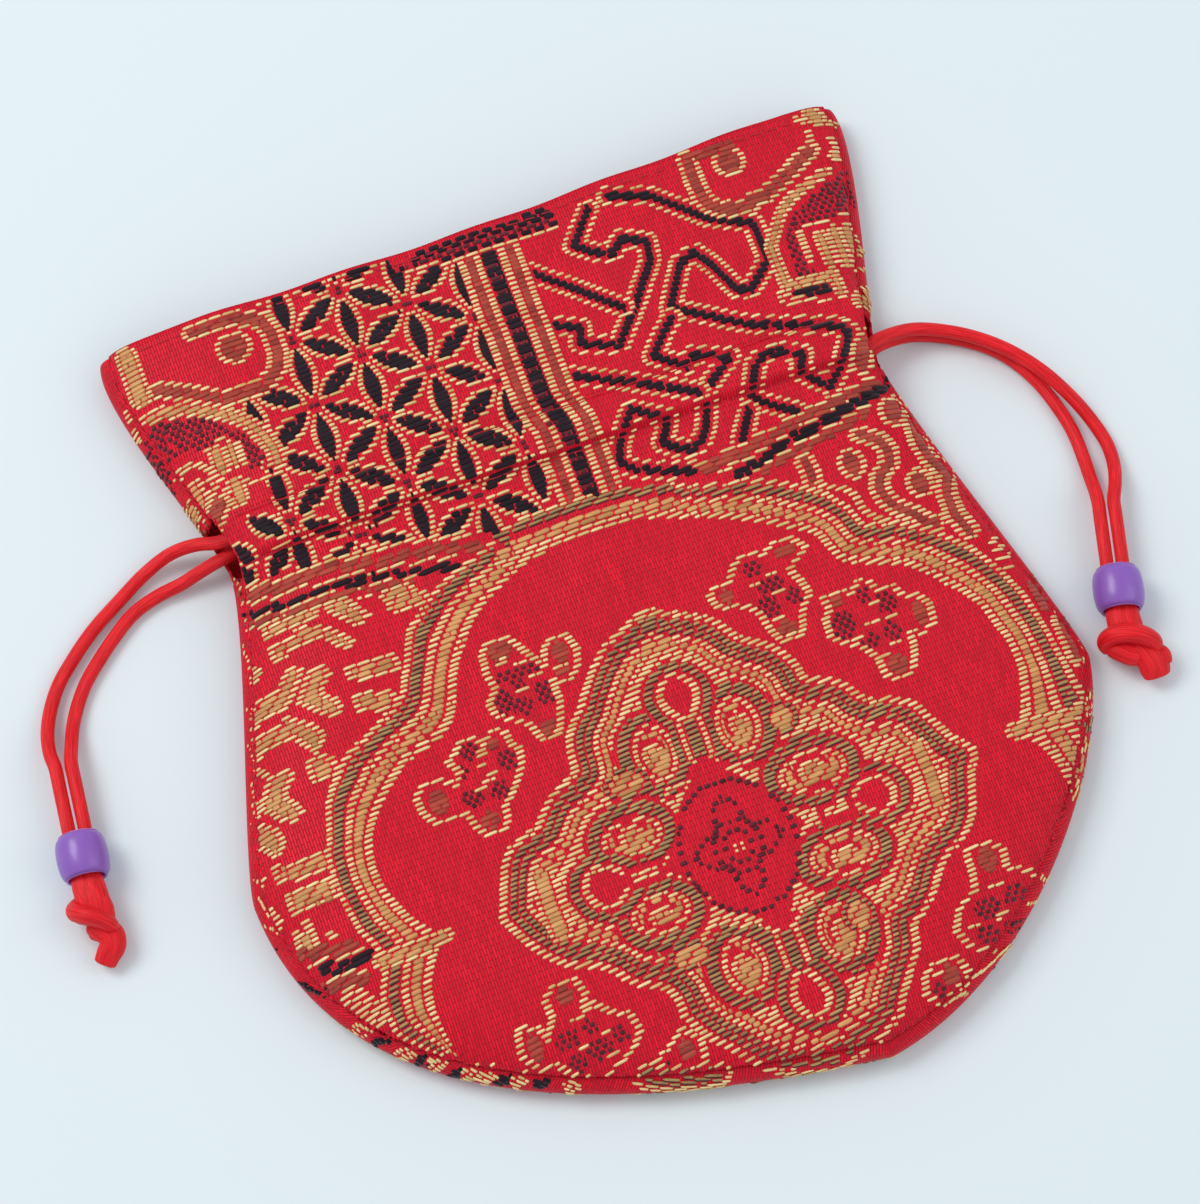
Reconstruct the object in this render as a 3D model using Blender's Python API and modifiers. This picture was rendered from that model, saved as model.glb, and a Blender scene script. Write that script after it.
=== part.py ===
"""Silk drawstring pouch, lying on its back: two brocade panels sewn along three sides, a hem folded
down inside the mouth that forms a channel, and two cords that run round the channel and leave on
opposite sides, each through a barrel bead and into a knot.

Metres, +Z up. +X runs across the pouch, +Y points to the mouth, the back panel lies on z = 0, and the
origin is under the middle of the two panels.
"""

import math

import bmesh
import bpy
import numpy as np
from mathutils import Matrix, Vector
from mathutils.geometry import interpolate_bezier

# Outline of the pouch, seen from above.
HEIGHT = 0.1394  # from the lowest point of the round bottom to the higher mouth corner
BODY_WIDTH = 0.1246
NECK_WIDTH = 0.1008
MOUTH_WIDTH = 0.1172
MOUTH_RISE = 0.0032  # the right mouth corner lies this much higher than the left one
MOUTH_SAG = 0.0022  # how far the front edge of the mouth hangs back in its middle
NECK_DROP = 0.0410  # narrowest place, below the higher mouth corner
BELLY_DROP_LEFT = 0.0897  # widest place on each side, below the higher mouth corner
BELLY_DROP_RIGHT = 0.0942
TIP_X = 0.0145  # the lowest point lies this far right of the middle

# Cloth and seams.
WALL = 0.0005
ROLL_RADIUS = 0.00265  # the back panel rolls up round the side with this radius
SEAM_INSET = 0.0018  # the seam lies on the front, this far inside the outline
CORNER_LEVEL = 0.012  # near a mouth corner, over this height, insets turn from square to level
CLEARANCE = 0.0003  # between neighbours that touch on the real pouch
CROWN_BODY = 0.0100  # height of the front above the floor, in the body, at the neck and at the mouth
CROWN_NECK = 0.0106
CROWN_MOUTH = 0.0096
SHOULDER = 0.016  # distance from the seam over which the front rises to its crown
FOLD_DEPTH = 0.00035  # soft folds in the frill and below the channel
FOLD_PITCH = 0.020
FOLD_FADE = 0.010  # the folds fade out over this length towards the channel and the mouth
FOLD_START = 0.015  # below the channel they are full to here, and gone FOLD_LENGTH further down
FOLD_LENGTH = 0.025

# Hem and cord channel.
CHANNEL_DROP = 0.0387  # middle of the channel, below the higher mouth corner
CHANNEL_WIDTH = 0.0074  # from stitch line to stitch line
CAVITY = 0.0026  # clear height of the channel
CHANNEL_LIFT = 0.0013  # how far the channel swells out of the front
CHANNEL_SLOPE = 0.0010  # width over which it closes down to each stitch line
HEM_TAIL = 0.0019  # the hem's cloth below the lower stitch line
HEM_TO_BODY = 0.011  # the straight rows of the front end this far below the hem
HEM_INSET = 0.0080  # the hem stops this far inside the outline
HEM_SHORT = 0.0004  # the folded edge stands back from the mouth
HEM_OVERLAP = 0.00015  # the hem's cloth and the panel's are fused by this much

# Side slits, where the cords leave.
SLIT_LENGTH = 0.0064
SLIT_OFFSET = 0.0006  # middle of the slit above the middle of the channel
SLIT_LIFT = 0.0030  # the front's rim arches this far over the cords
SLIT_FLOOR = 0.0024  # the back's rim is cut down to this height
SLIT_REACH = 0.0064  # how far inside the outline the cut starts
ARCH_FADE = 0.0055  # the arch fades out over this length beyond the slit

# Cords, beads and knots.
CORD_DIAMETER = 0.0020
LANE_OFFSET = 0.0013  # each cord runs this far above or below the middle of the channel
STRAND_OFFSET = 0.00115  # the two strands of a cord, either side of the bead's axis
BEAD_DIAMETER = 0.0074
BEAD_LENGTH = 0.0065
BEAD_BORE = 0.0050
BEAD_END_DIAMETER = 0.0062
BEAD_LIP = 0.0004
BEAD_HEIGHT = 0.0038  # of the bead's axis above the floor
BEAD_TRAVEL = 0.0080  # the bead slides this far up its straight pair of strands
TAIL_END = 0.0012  # the strands end this far beyond the bead
STRAND_LEAD = 0.0025  # they are straight this far above the bead's travel
STRAND_EASE = 0.0004
KNOT_CORD_DIAMETER = 0.0040  # the doubled cord, as thick as it is in the knot

# Fineness of the meshes.
SEAM_POINTS = 500
EDGE_COLUMNS = 5
EDGE_CROWDING = 1.5  # columns stand closer together towards the seam
MIDDLE_COLUMNS = 20
LOWER_ROWS = 14
ROW_CROWDING = 1.4  # rows stand closer together towards the bottom
PATCH_SIDE = 0.26  # share of the bottom seam that each side of the lower patch takes
FRILL_ROWS = 6
ROLL_STEPS = 6
OUTLINE_STEPS = (11, 10, 18, 18, 10, 11)
LANE_POINTS = 13
ROUTE_STEPS = 24
BEND = math.radians(16)  # a cord gets a new point where it has turned this much
TURN_ANGLES = np.radians((60, 30, 0, -30, -60))
BEAD_STEPS = 32
BEAD_RINGS = 9
BEAD_SQUARENESS = 0.8  # under 1, the barrel's side is straighter than a half ellipse
KNOT_ROUTE_STEPS = 4
KNOT_VOXEL = 0.0004
KNOT_KEEP = 0.10  # share of its triangles that the fused knot keeps

# Positions that follow from the sizes above.
MOUTH_Y = HEIGHT / 2
CHANNEL_Y = MOUTH_Y - CHANNEL_DROP
SLIT_Y = CHANNEL_Y + SLIT_OFFSET
STITCH_LOW = CHANNEL_Y - CHANNEL_WIDTH / 2
STITCH_HIGH = CHANNEL_Y + CHANNEL_WIDTH / 2
HEM_LOW = STITCH_LOW - HEM_TAIL
JOIN_Y = HEM_LOW - HEM_TO_BODY
SEAM_ANGLE = math.acos(1 - SEAM_INSET / ROLL_RADIUS)
SEAM_HEIGHT = ROLL_RADIUS * (1 + math.sin(SEAM_ANGLE))
FRONT_INSET = SEAM_INSET + CLEARANCE
CHANNEL_DIP = CAVITY - CHANNEL_LIFT + HEM_OVERLAP
HEM_WALL = WALL + HEM_OVERLAP
CHANNEL_END = NECK_WIDTH / 2 - HEM_INSET
BACK_LANE_HEIGHT = WALL + CAVITY / 2

# Each bead's middle and the direction of its axis in plan, away from the pouch.
BEADS = {
    "left": (Vector((-0.0828, -0.0050, BEAD_HEIGHT)), Vector((-0.094, -0.996, 0)).normalized()),
    "right": (Vector((0.0699, -0.0168, BEAD_HEIGHT)), Vector((-0.256, -0.967, 0)).normalized()),
}

# Each cord's two strands, from the end of the channel through the side slit and along the floor to
# the straight pair above the bead, in millimetres. The first strand leaves the front channel.
STRANDS = {
    "left": (
        [(-45.0, 32.5, 8.4), (-46.6, 32.7, 7.4), (-48.3, 32.9, 6.3), (-50.6, 33.2, 5.5),
         (-53.6, 34.3, 4.5), (-57.5, 34.9, 2.8), (-61.8, 33.8, 1.5), (-66.6, 31.2, 1.05),
         (-71.7, 28.0, 1.05), (-75.7, 24.7, 1.05), (-78.9, 21.5, 1.05), (-81.1, 18.0, 1.3),
         (-82.4, 14.4, 2.2), (-82.8, 11.2, 3.2)],
        [(-45.2, 32.2, 2.3), (-47.2, 31.8, 3.4), (-49.2, 31.4, 3.9), (-51.4, 31.1, 3.8),
         (-54.2, 30.8, 2.8), (-57.4, 30.3, 1.8), (-61.2, 29.9, 1.2), (-65.4, 28.5, 1.05),
         (-69.0, 26.0, 1.05), (-72.2, 23.3, 1.05), (-74.8, 20.8, 1.05), (-76.9, 18.0, 1.05),
         (-78.5, 15.0, 1.4), (-79.7, 11.4, 2.6)],
    ),
    "right": (
        [(45.0, 29.7, 8.4), (46.6, 29.9, 7.4), (48.3, 30.2, 6.4), (50.6, 30.9, 6.0),
         (53.4, 31.4, 5.2), (56.6, 31.5, 4.2), (61.6, 29.8, 3.4), (68.3, 24.8, 3.3),
         (72.4, 19.5, 3.2), (75.0, 14.7, 2.6), (76.9, 10.2, 1.5), (77.8, 5.6, 1.1),
         (77.2, 1.9, 1.9), (75.9, -1.2, 3.1)],
        [(45.2, 29.7, 2.3), (47.2, 29.8, 3.4), (49.2, 30.3, 3.8), (51.0, 30.9, 3.6),
         (53.4, 31.4, 2.8), (56.6, 31.5, 1.8), (61.7, 29.8, 1.1), (68.4, 24.7, 1.05),
         (71.6, 19.2, 1.05), (73.1, 14.0, 1.05), (73.8, 9.1, 1.05), (73.7, 5.0, 1.05),
         (73.3, 1.5, 1.6), (72.8, -1.2, 2.9)],
    ),
}

# The doubled cord's path through an overhand knot and out to its cut end, in millimetres: across the
# bead's axis, along it away from the bead, and up.
KNOT_PATHS = {
    "left": [(0.0, 0.0, 0.0), (0.2, 2.2, -0.3), (1.2, 4.6, -1.3), (-0.4, 6.2, -1.5), (-2.2, 5.2, 0.1),
             (-1.2, 3.6, 1.6), (1.4, 3.4, 1.6), (2.2, 5.0, 0.2), (1.0, 6.6, 0.3), (1.9, 8.8, 0.6),
             (1.6, 10.6, -0.6), (0.0, 12.4, -1.5)],
    "right": [(0.0, 0.0, 0.0), (0.2, 2.2, -0.3), (-1.2, 4.2, -1.3), (0.6, 5.8, -1.6), (2.6, 5.2, 0.1),
              (1.2, 3.6, 1.6), (-1.6, 3.2, 1.4), (-1.8, 4.8, 0.0), (0.6, 6.2, 0.4), (2.8, 7.4, 0.8),
              (4.2, 8.6, -0.4), (5.0, 10.2, -1.4)],
}


def clear_scene():
    for obj in list(bpy.data.objects):
        bpy.data.objects.remove(obj, do_unlink=True)


def new_collection(name):
    collection = bpy.data.collections.new(name)
    bpy.context.scene.collection.children.link(collection)
    return collection


def new_material(name, color, roughness, sheen=0.0):
    material = bpy.data.materials.new(name)
    material.use_nodes = True
    shader = material.node_tree.nodes["Principled BSDF"]
    shader.inputs["Base Color"].default_value = (*color, 1)
    shader.inputs["Roughness"].default_value = roughness
    shader.inputs["Metallic"].default_value = 0.0
    shader.inputs["Sheen Weight"].default_value = sheen
    return material


def new_object(name, mesh, collection, material):
    mesh.materials.append(material)
    obj = bpy.data.objects.new(name, mesh)
    collection.objects.link(obj)
    return obj


def make_guide(obj):
    """Keeps a cutter or a joined shape out of the model and drawn as a wire."""
    obj.hide_render = True
    obj.display_type = "WIRE"


def smooth(low, high, value):
    """0 below low, 1 above high and a smooth step between them."""
    share = np.clip((value - low) / (high - low), 0.0, 1.0)
    return share * share * (3 - 2 * share)


def outline():
    """The pouch's outline from the left mouth corner, down and round the bottom, to the right one."""
    neck_y = MOUTH_Y - NECK_DROP
    left_corner = (-MOUTH_WIDTH / 2, MOUTH_Y - MOUTH_RISE)
    left_neck, right_neck = (-NECK_WIDTH / 2, neck_y), (NECK_WIDTH / 2, neck_y)
    left_belly = (-BODY_WIDTH / 2, MOUTH_Y - BELLY_DROP_LEFT)
    right_belly = (BODY_WIDTH / 2, MOUTH_Y - BELLY_DROP_RIGHT)
    tip = (TIP_X, -MOUTH_Y)
    right_corner = (MOUTH_WIDTH / 2, MOUTH_Y)
    # Each stretch is a start, the offsets of its two handles, and an end.
    stretches = (
        (left_corner, (-0.0023, -0.0061), (-0.0012, 0.0078), left_neck),
        (left_neck, (0.0, -0.0088), (0.0, 0.0059), left_belly),
        (left_belly, (0.0019, -0.0390), (-0.0251, 0.0034), tip),
        (tip, (0.0242, 0.0038), (-0.0024, -0.0140), right_belly),
        (right_belly, (0.0, 0.0059), (0.0, -0.0076), right_neck),
        (right_neck, (0.0005, 0.0065), (0.0023, -0.0061), right_corner),
    )
    points = []
    for (start, leave, arrive, end), steps in zip(stretches, OUTLINE_STEPS):
        start, end = Vector(start), Vector(end)
        stretch = interpolate_bezier(start, start + Vector(leave), end + Vector(arrive), end, steps + 1)
        points += stretch if not points else stretch[1:]
    return np.array([point.to_2d() for point in points])


OUTLINE = outline()


def inward_directions():
    """Unit vectors into the pouch, square to the outline but level at the two mouth corners."""
    tangents = np.gradient(OUTLINE, axis=0)
    tangents /= np.linalg.norm(tangents, axis=1, keepdims=True)
    inward = np.column_stack((-tangents[:, 1], tangents[:, 0]))
    level = np.column_stack((-np.sign(OUTLINE[:, 0]), np.zeros(len(OUTLINE))))
    corner_y = np.where(OUTLINE[:, 0] < 0, MOUTH_Y - MOUTH_RISE, MOUTH_Y)
    share = smooth(CORNER_LEVEL, 0.0, corner_y - OUTLINE[:, 1])[:, None]
    mixed = inward * (1 - share) + level * share
    return mixed / np.linalg.norm(mixed, axis=1, keepdims=True)


INWARD = inward_directions()


def inset(distance):
    return OUTLINE + INWARD * distance


def spaced(points, shares):
    """Points at the given shares of the length of a polyline."""
    steps = np.linalg.norm(np.diff(points, axis=0), axis=1)
    length = np.concatenate(([0.0], np.cumsum(steps)))
    wanted = np.asarray(shares) * length[-1]
    return np.column_stack([np.interp(wanted, length, points[:, axis]) for axis in range(points.shape[1])])


SEAM = inset(FRONT_INSET)
SEAM_FINE = spaced(SEAM, np.linspace(0, 1, SEAM_POINTS))


def side_x(curve, y, sign):
    """Where one side of a curve inside the outline crosses a height y above its belly."""
    belly_y = MOUTH_Y - (BELLY_DROP_LEFT if sign < 0 else BELLY_DROP_RIGHT)
    side = curve[(curve[:, 0] * sign > 0) & (curve[:, 1] > belly_y)]
    side = side[np.argsort(side[:, 1])]
    return np.interp(y, side[:, 1], side[:, 0])


def channel_swell(y):
    """1 over the cords, 0 beyond the two stitch lines."""
    half = CHANNEL_WIDTH / 2
    return 1 - smooth(half - CHANNEL_SLOPE, half, np.abs(y - CHANNEL_Y))


def seam_distance(x, y):
    """Distance from each point to the seam, for arrays of any shape."""
    points = np.stack((np.ravel(x), np.ravel(y)), axis=1)
    gaps = np.linalg.norm(points[:, None] - SEAM_FINE[None], axis=2).min(axis=1)
    return gaps.reshape(np.shape(x))


def front_base(x, y):
    """Height of the front's outer face, without the swelling of the channel."""
    distance = seam_distance(x, y)
    to_slit = np.abs(y - SLIT_Y) - SLIT_LENGTH / 2
    rim = SEAM_HEIGHT + SLIT_LIFT * (1 - smooth(0, ARCH_FADE, to_slit)) * (y > JOIN_Y)
    crown = CROWN_BODY + (CROWN_NECK - CROWN_BODY) * smooth(JOIN_Y, STITCH_LOW, y)
    crown = crown + (CROWN_MOUTH - CROWN_NECK) * smooth(STITCH_HIGH, MOUTH_Y, y)
    share = np.clip(distance / SHOULDER, 0, 1)
    height = rim + (crown - rim) * np.sqrt(1 - (1 - share) ** 2)
    in_frill = smooth(STITCH_HIGH, MOUTH_Y - FOLD_FADE, y)
    full, gone = STITCH_LOW - FOLD_START, STITCH_LOW - FOLD_START - FOLD_LENGTH
    below = smooth(STITCH_LOW, STITCH_LOW - FOLD_FADE, y) * smooth(gone, full, y)
    folds = FOLD_DEPTH * (in_frill + below) * np.cos(2 * math.pi * x / FOLD_PITCH)
    return height + folds * share


def front_height(x, y):
    """Height of the front's outer face."""
    rise = smooth(0, HEM_INSET - FRONT_INSET, seam_distance(x, y))
    return front_base(x, y) + CHANNEL_LIFT * channel_swell(y) * rise


def column_shares():
    """Shares across the front: close together at both seams, with the hem's edges between."""
    edge_share = (HEM_INSET - FRONT_INSET) / (NECK_WIDTH - 2 * FRONT_INSET)
    edge = edge_share * np.linspace(0, 1, EDGE_COLUMNS + 1) ** EDGE_CROWDING
    middle = np.linspace(edge_share, 1 - edge_share, MIDDLE_COLUMNS + 1)
    return np.concatenate((edge[:-1], middle, (1 - edge)[::-1][1:]))


def channel_rows():
    """Heights y of the straight rows, from the join with the lower body to above the channel."""
    half, slope = CHANNEL_WIDTH / 2, CHANNEL_SLOPE
    return [
        JOIN_Y, (JOIN_Y + HEM_LOW) / 2, HEM_LOW, STITCH_LOW, CHANNEL_Y - half + slope, CHANNEL_Y,
        CHANNEL_Y + half - slope, STITCH_HIGH, STITCH_HIGH + HEM_TAIL,
    ]


def straight_row(curve, y, shares):
    left, right = side_x(curve, y, -1), side_x(curve, y, 1)
    return np.column_stack((left + (right - left) * shares, np.full(len(shares), y)))


def frill_rows(shares):
    """Rows that turn from straight, above the channel, into the line of the mouth."""
    foot = straight_row(SEAM, STITCH_HIGH + HEM_TAIL, shares)
    left, right = SEAM[0], SEAM[-1]
    rows = []
    for part in np.linspace(0, 1, FRILL_ROWS + 1)[1:]:
        y_left = foot[0, 1] + (left[1] - foot[0, 1]) * part
        y_right = foot[-1, 1] + (right[1] - foot[-1, 1]) * part
        x = side_x(SEAM, y_left, -1) * (1 - shares) + side_x(SEAM, y_right, 1) * shares
        level = y_left * (1 - shares) + y_right * shares
        sag = MOUTH_SAG * part * np.clip(1 - (2 * shares - 1) ** 2, 0, 1)
        rows.append(np.column_stack((x, level - sag)))
    return rows


def lower_rows(shares):
    """Rows of a patch that fills the round bottom between four sides of the seam."""
    top = straight_row(SEAM, JOIN_Y, shares)
    at_left = np.argmin(np.linalg.norm(SEAM_FINE - top[0], axis=1))
    at_right = np.argmin(np.linalg.norm(SEAM_FINE - top[-1], axis=1))
    corner_left = at_left + int(PATCH_SIDE * (at_right - at_left))
    corner_right = at_right - int(PATCH_SIDE * (at_right - at_left))
    heights = np.linspace(0, 1, LOWER_ROWS + 1) ** ROW_CROWDING
    bottom = spaced(SEAM_FINE[corner_left : corner_right + 1], shares)
    left = spaced(SEAM_FINE[at_left : corner_left + 1][::-1], heights)
    right = spaced(SEAM_FINE[corner_right : at_right + 1], heights)
    rows = []
    for share, a, b in zip(heights, left, right):
        across = shares[:, None]
        sides = a * (1 - across) + b * across
        ends = bottom * (1 - share) + top * share
        low = bottom[0] * (1 - across) + bottom[-1] * across
        high = top[0] * (1 - across) + top[-1] * across
        rows.append(sides + ends - low * (1 - share) - high * share)
    return rows[:-1]


def sheet_mesh(name, rows, heights):
    """A mesh of quads through rows of points, facing up."""
    mesh = bmesh.new()
    verts = [
        [mesh.verts.new((x, y, z)) for (x, y), z in zip(row, levels)] for row, levels in zip(rows, heights)
    ]
    for low, high in zip(verts, verts[1:]):
        for index in range(len(low) - 1):
            mesh.faces.new((low[index], low[index + 1], high[index + 1], high[index]))
    data = bpy.data.meshes.new(name)
    mesh.to_mesh(data)
    mesh.free()
    return data


def give_wall(obj, thickness):
    """Thickens a sheet on the side away from its faces' fronts."""
    wall = obj.modifiers.new("wall", "SOLIDIFY")
    wall.thickness = thickness
    wall.offset = -1
    wall.use_even_offset = False


def join(obj, other, operation):
    boolean = obj.modifiers.new(operation.lower(), "BOOLEAN")
    boolean.operation = operation
    boolean.solver = "EXACT"
    boolean.object = other


def front_panel(parts, guides, material):
    shares = column_shares()
    straight = [straight_row(SEAM, y, shares) for y in channel_rows()]
    frill = frill_rows(shares)
    rows = lower_rows(shares) + straight + frill
    heights = [front_height(row[:, 0], row[:, 1]) for row in rows]
    panel = new_object("front_panel", sheet_mesh("front_panel", rows, heights), parts, material)
    give_wall(panel, WALL)

    hem_rows = [row[EDGE_COLUMNS:-EDGE_COLUMNS].copy() for row in straight[2:] + frill]
    hem_rows[-1][:, 1] -= HEM_SHORT
    hem_heights = [
        front_base(row[:, 0], row[:, 1]) - WALL + HEM_OVERLAP - CHANNEL_DIP * channel_swell(row[:, 1])
        for row in hem_rows
    ]
    hem = new_object("front_hem", sheet_mesh("front_hem", hem_rows, hem_heights), guides, material)
    give_wall(hem, HEM_WALL)
    make_guide(hem)
    join(panel, hem, "UNION")
    return panel


def back_shell_mesh():
    """The back's outer face: flat on the floor, with its edge rolled up and over to the seam."""
    angles = np.linspace(-math.pi / 2, SEAM_ANGLE, ROLL_STEPS + 1)
    mesh = bmesh.new()
    rings = []
    for point, inward in zip(OUTLINE, INWARD):
        ring = []
        for angle in angles:
            x, y = point + inward * ROLL_RADIUS * (1 - math.cos(angle))
            ring.append(mesh.verts.new((x, y, ROLL_RADIUS * (1 + math.sin(angle)))))
        rings.append(ring)
    for here, there in zip(rings, rings[1:]):
        for index in range(ROLL_STEPS):
            mesh.faces.new((here[index], here[index + 1], there[index + 1], there[index]))
    floor = mesh.faces.new([ring[0] for ring in reversed(rings)])
    bmesh.ops.recalc_face_normals(mesh, faces=mesh.faces[:])
    if floor.normal.z > 0:
        bmesh.ops.reverse_faces(mesh, faces=mesh.faces[:])
    data = bpy.data.meshes.new("back_panel")
    mesh.to_mesh(data)
    mesh.free()
    return data


def slit_cutter(side, guides, material):
    """A block that opens the back's rolled edge where the cords of one side leave."""
    sign = -1 if side == "left" else 1
    mesh = bmesh.new()
    reach = SLIT_REACH + ROLL_RADIUS
    height = SEAM_HEIGHT + SLIT_LIFT
    size = Matrix.Diagonal((reach, SLIT_LENGTH, height, 1))
    middle = (sign * (NECK_WIDTH / 2 - SLIT_REACH + reach / 2), SLIT_Y, SLIT_FLOOR + height / 2)
    bmesh.ops.create_cube(mesh, size=1, matrix=Matrix.Translation(middle) @ size)
    data = bpy.data.meshes.new(f"slit_{side}")
    mesh.to_mesh(data)
    mesh.free()
    cutter = new_object(f"slit_{side}", data, guides, material)
    make_guide(cutter)
    return cutter


def back_panel(parts, guides, material):
    panel = new_object("back_panel", back_shell_mesh(), parts, material)
    give_wall(panel, WALL)

    hem_curve = inset(HEM_INSET)
    levels = channel_rows()[2:]
    ends = [(side_x(hem_curve, y, -1), side_x(hem_curve, y, 1), y, y) for y in levels]
    steps = np.linspace(0, 1, FRILL_ROWS + 1)[1:]
    for part in steps:
        y_left = levels[-1] + (MOUTH_Y - MOUTH_RISE - HEM_SHORT - levels[-1]) * part
        y_right = levels[-1] + (MOUTH_Y - HEM_SHORT - levels[-1]) * part
        ends.append((side_x(hem_curve, y_left, -1), side_x(hem_curve, y_right, 1), y_left, y_right))
    rows = [np.array([(left, y_left), (right, y_right)]) for left, right, y_left, y_right in ends]
    # The sheet is the hem's upper face, which give_wall thickens downwards.
    flat = WALL + WALL
    heights = [flat + (CAVITY + HEM_OVERLAP) * channel_swell(row[:, 1]) for row in rows]
    hem = new_object("back_hem", sheet_mesh("back_hem", rows, heights), guides, material)
    give_wall(hem, HEM_WALL)
    make_guide(hem)
    join(panel, hem, "UNION")
    for side in ("left", "right"):
        join(panel, slit_cutter(side, guides, material), "DIFFERENCE")
    return panel


def smooth_route(knots, fine=ROUTE_STEPS):
    """A dense smooth curve through the knots, whose tangents follow their spacing."""
    knots = np.array(knots)
    gaps = np.linalg.norm(np.diff(knots, axis=0), axis=1)
    slopes = np.diff(knots, axis=0) / gaps[:, None]
    tangents = np.empty_like(knots)
    tangents[0], tangents[-1] = slopes[0], slopes[-1]
    before, after = gaps[:-1, None], gaps[1:, None]
    tangents[1:-1] = (slopes[:-1] * after + slopes[1:] * before) / (before + after)
    curve = [knots[0]]
    for index, gap in enumerate(gaps):
        for step in range(1, fine + 1):
            t = step / fine
            curve.append(
                knots[index] * (2 * t**3 - 3 * t**2 + 1)
                + tangents[index] * gap * (t**3 - 2 * t**2 + t)
                + knots[index + 1] * (3 * t**2 - 2 * t**3)
                + tangents[index + 1] * gap * (t**3 - t**2)
            )
    return np.array(curve)


def thin_out(curve, straight_step, bent_step):
    """Keeps few points where the curve is straight and more where it bends."""
    kept = [curve[0]]
    heading = curve[1] - curve[0]
    for here, there in zip(curve[1:-1], curve[2:]):
        since = np.linalg.norm(here - kept[-1])
        leave = there - here
        bent = Vector(heading).angle(Vector(leave), 0.0) > BEND
        if since > straight_step or (bent and since > bent_step):
            kept.append(here)
            heading = leave
    kept.append(curve[-1])
    return np.array(kept)


def tube(name, points, diameter, parts, material):
    curve = bpy.data.curves.new(name, "CURVE")
    curve.dimensions = "3D"
    curve.bevel_depth = diameter / 2
    curve.bevel_resolution = 2
    curve.use_fill_caps = True
    spline = curve.splines.new("POLY")
    spline.points.add(len(points) - 1)
    for point, place in zip(spline.points, points):
        point.co = (*place, 1)
    curve.materials.append(material)
    obj = bpy.data.objects.new(name, curve)
    parts.objects.link(obj)
    return obj


def front_lane_height(x, y):
    """Height of a cord's middle in the front channel."""
    base = float(front_base(np.array([x]), np.array([y]))[0])
    return base + CHANNEL_LIFT - WALL - CAVITY / 2


def straight_pair(side, strand):
    """The strand's end through the bead, from the top of the bead's travel to the knot."""
    middle, along = BEADS[side]
    across = Vector((-along.y, along.x, 0))
    outer = -1 if side == "left" else 1
    offset = across * STRAND_OFFSET * (outer if strand == 0 else -outer)
    top = BEAD_LENGTH / 2 + BEAD_TRAVEL
    end = BEAD_LENGTH / 2 + TAIL_END
    stations = (-top - STRAND_LEAD, -top - STRAND_EASE, -top / 2, 0, end)
    return [tuple(middle + offset + along * station) for station in stations]


def cord(side, parts, material):
    """One whole cord: knot, bead, slit, front channel, turn at the far side, back channel and out."""
    sign = -1 if side == "left" else 1
    lane = CHANNEL_Y - sign * LANE_OFFSET
    free = [[tuple(v / 1000 for v in point) for point in strand] for strand in STRANDS[side]]
    shares = np.linspace(1, -1, LANE_POINTS)
    front = [(sign * s * CHANNEL_END, lane) for s in shares]
    front = [(x, y, front_lane_height(x, y)) for x, y in front]
    far_x, _, far_z = front[-1]
    radius = (far_z - BACK_LANE_HEIGHT) / 2
    turn = []
    for angle in TURN_ANGLES:
        x = far_x - sign * radius * math.cos(angle)
        turn.append((x, lane, BACK_LANE_HEIGHT + radius * (1 + math.sin(angle))))
    back = [(-sign * s * CHANNEL_END, lane, BACK_LANE_HEIGHT) for s in shares]
    first = [*straight_pair(side, 0)[::-1], *free[0][::-1]]
    second = [*free[1], *straight_pair(side, 1)]
    route = smooth_route([*first, *front, *turn, *back, *second])
    points = thin_out(route, 3 * CORD_DIAMETER, CORD_DIAMETER)
    return tube(f"drawcord_{side}", points, CORD_DIAMETER, parts, material)


def bead(side, parts, material):
    """A turned barrel with a wide bore, its axis along the straight pair of strands."""
    half, bore = BEAD_LENGTH / 2, BEAD_BORE / 2
    end, belly = BEAD_END_DIAMETER / 2, BEAD_DIAMETER / 2
    bulge = np.radians(np.linspace(90, -90, BEAD_RINGS))
    profile = [(bore + BEAD_LIP, half)]
    for angle in bulge:
        radius = end + (belly - end) * math.cos(angle) ** BEAD_SQUARENESS
        profile.append((radius, (half - BEAD_LIP) * math.sin(angle)))
    profile += [(bore + BEAD_LIP, -half), (bore, -half + BEAD_LIP), (bore, half - BEAD_LIP)]
    mesh = bmesh.new()
    verts = [mesh.verts.new((x, 0, z)) for x, z in profile]
    for here, there in zip(verts, verts[1:] + verts[:1]):
        mesh.edges.new((here, there))
    data = bpy.data.meshes.new(f"bead_{side}")
    mesh.to_mesh(data)
    mesh.free()
    obj = new_object(f"bead_{side}", data, parts, material)
    turn = obj.modifiers.new("turn", "SCREW")
    turn.axis = "Z"
    turn.steps = turn.render_steps = BEAD_STEPS
    turn.use_merge_vertices = True
    turn.merge_threshold = 0.00001
    turn.use_normal_calculate = True
    middle, along = BEADS[side]
    obj.matrix_world = Matrix.Translation(middle) @ (-along).to_track_quat("Z", "Y").to_matrix().to_4x4()
    return obj


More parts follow.
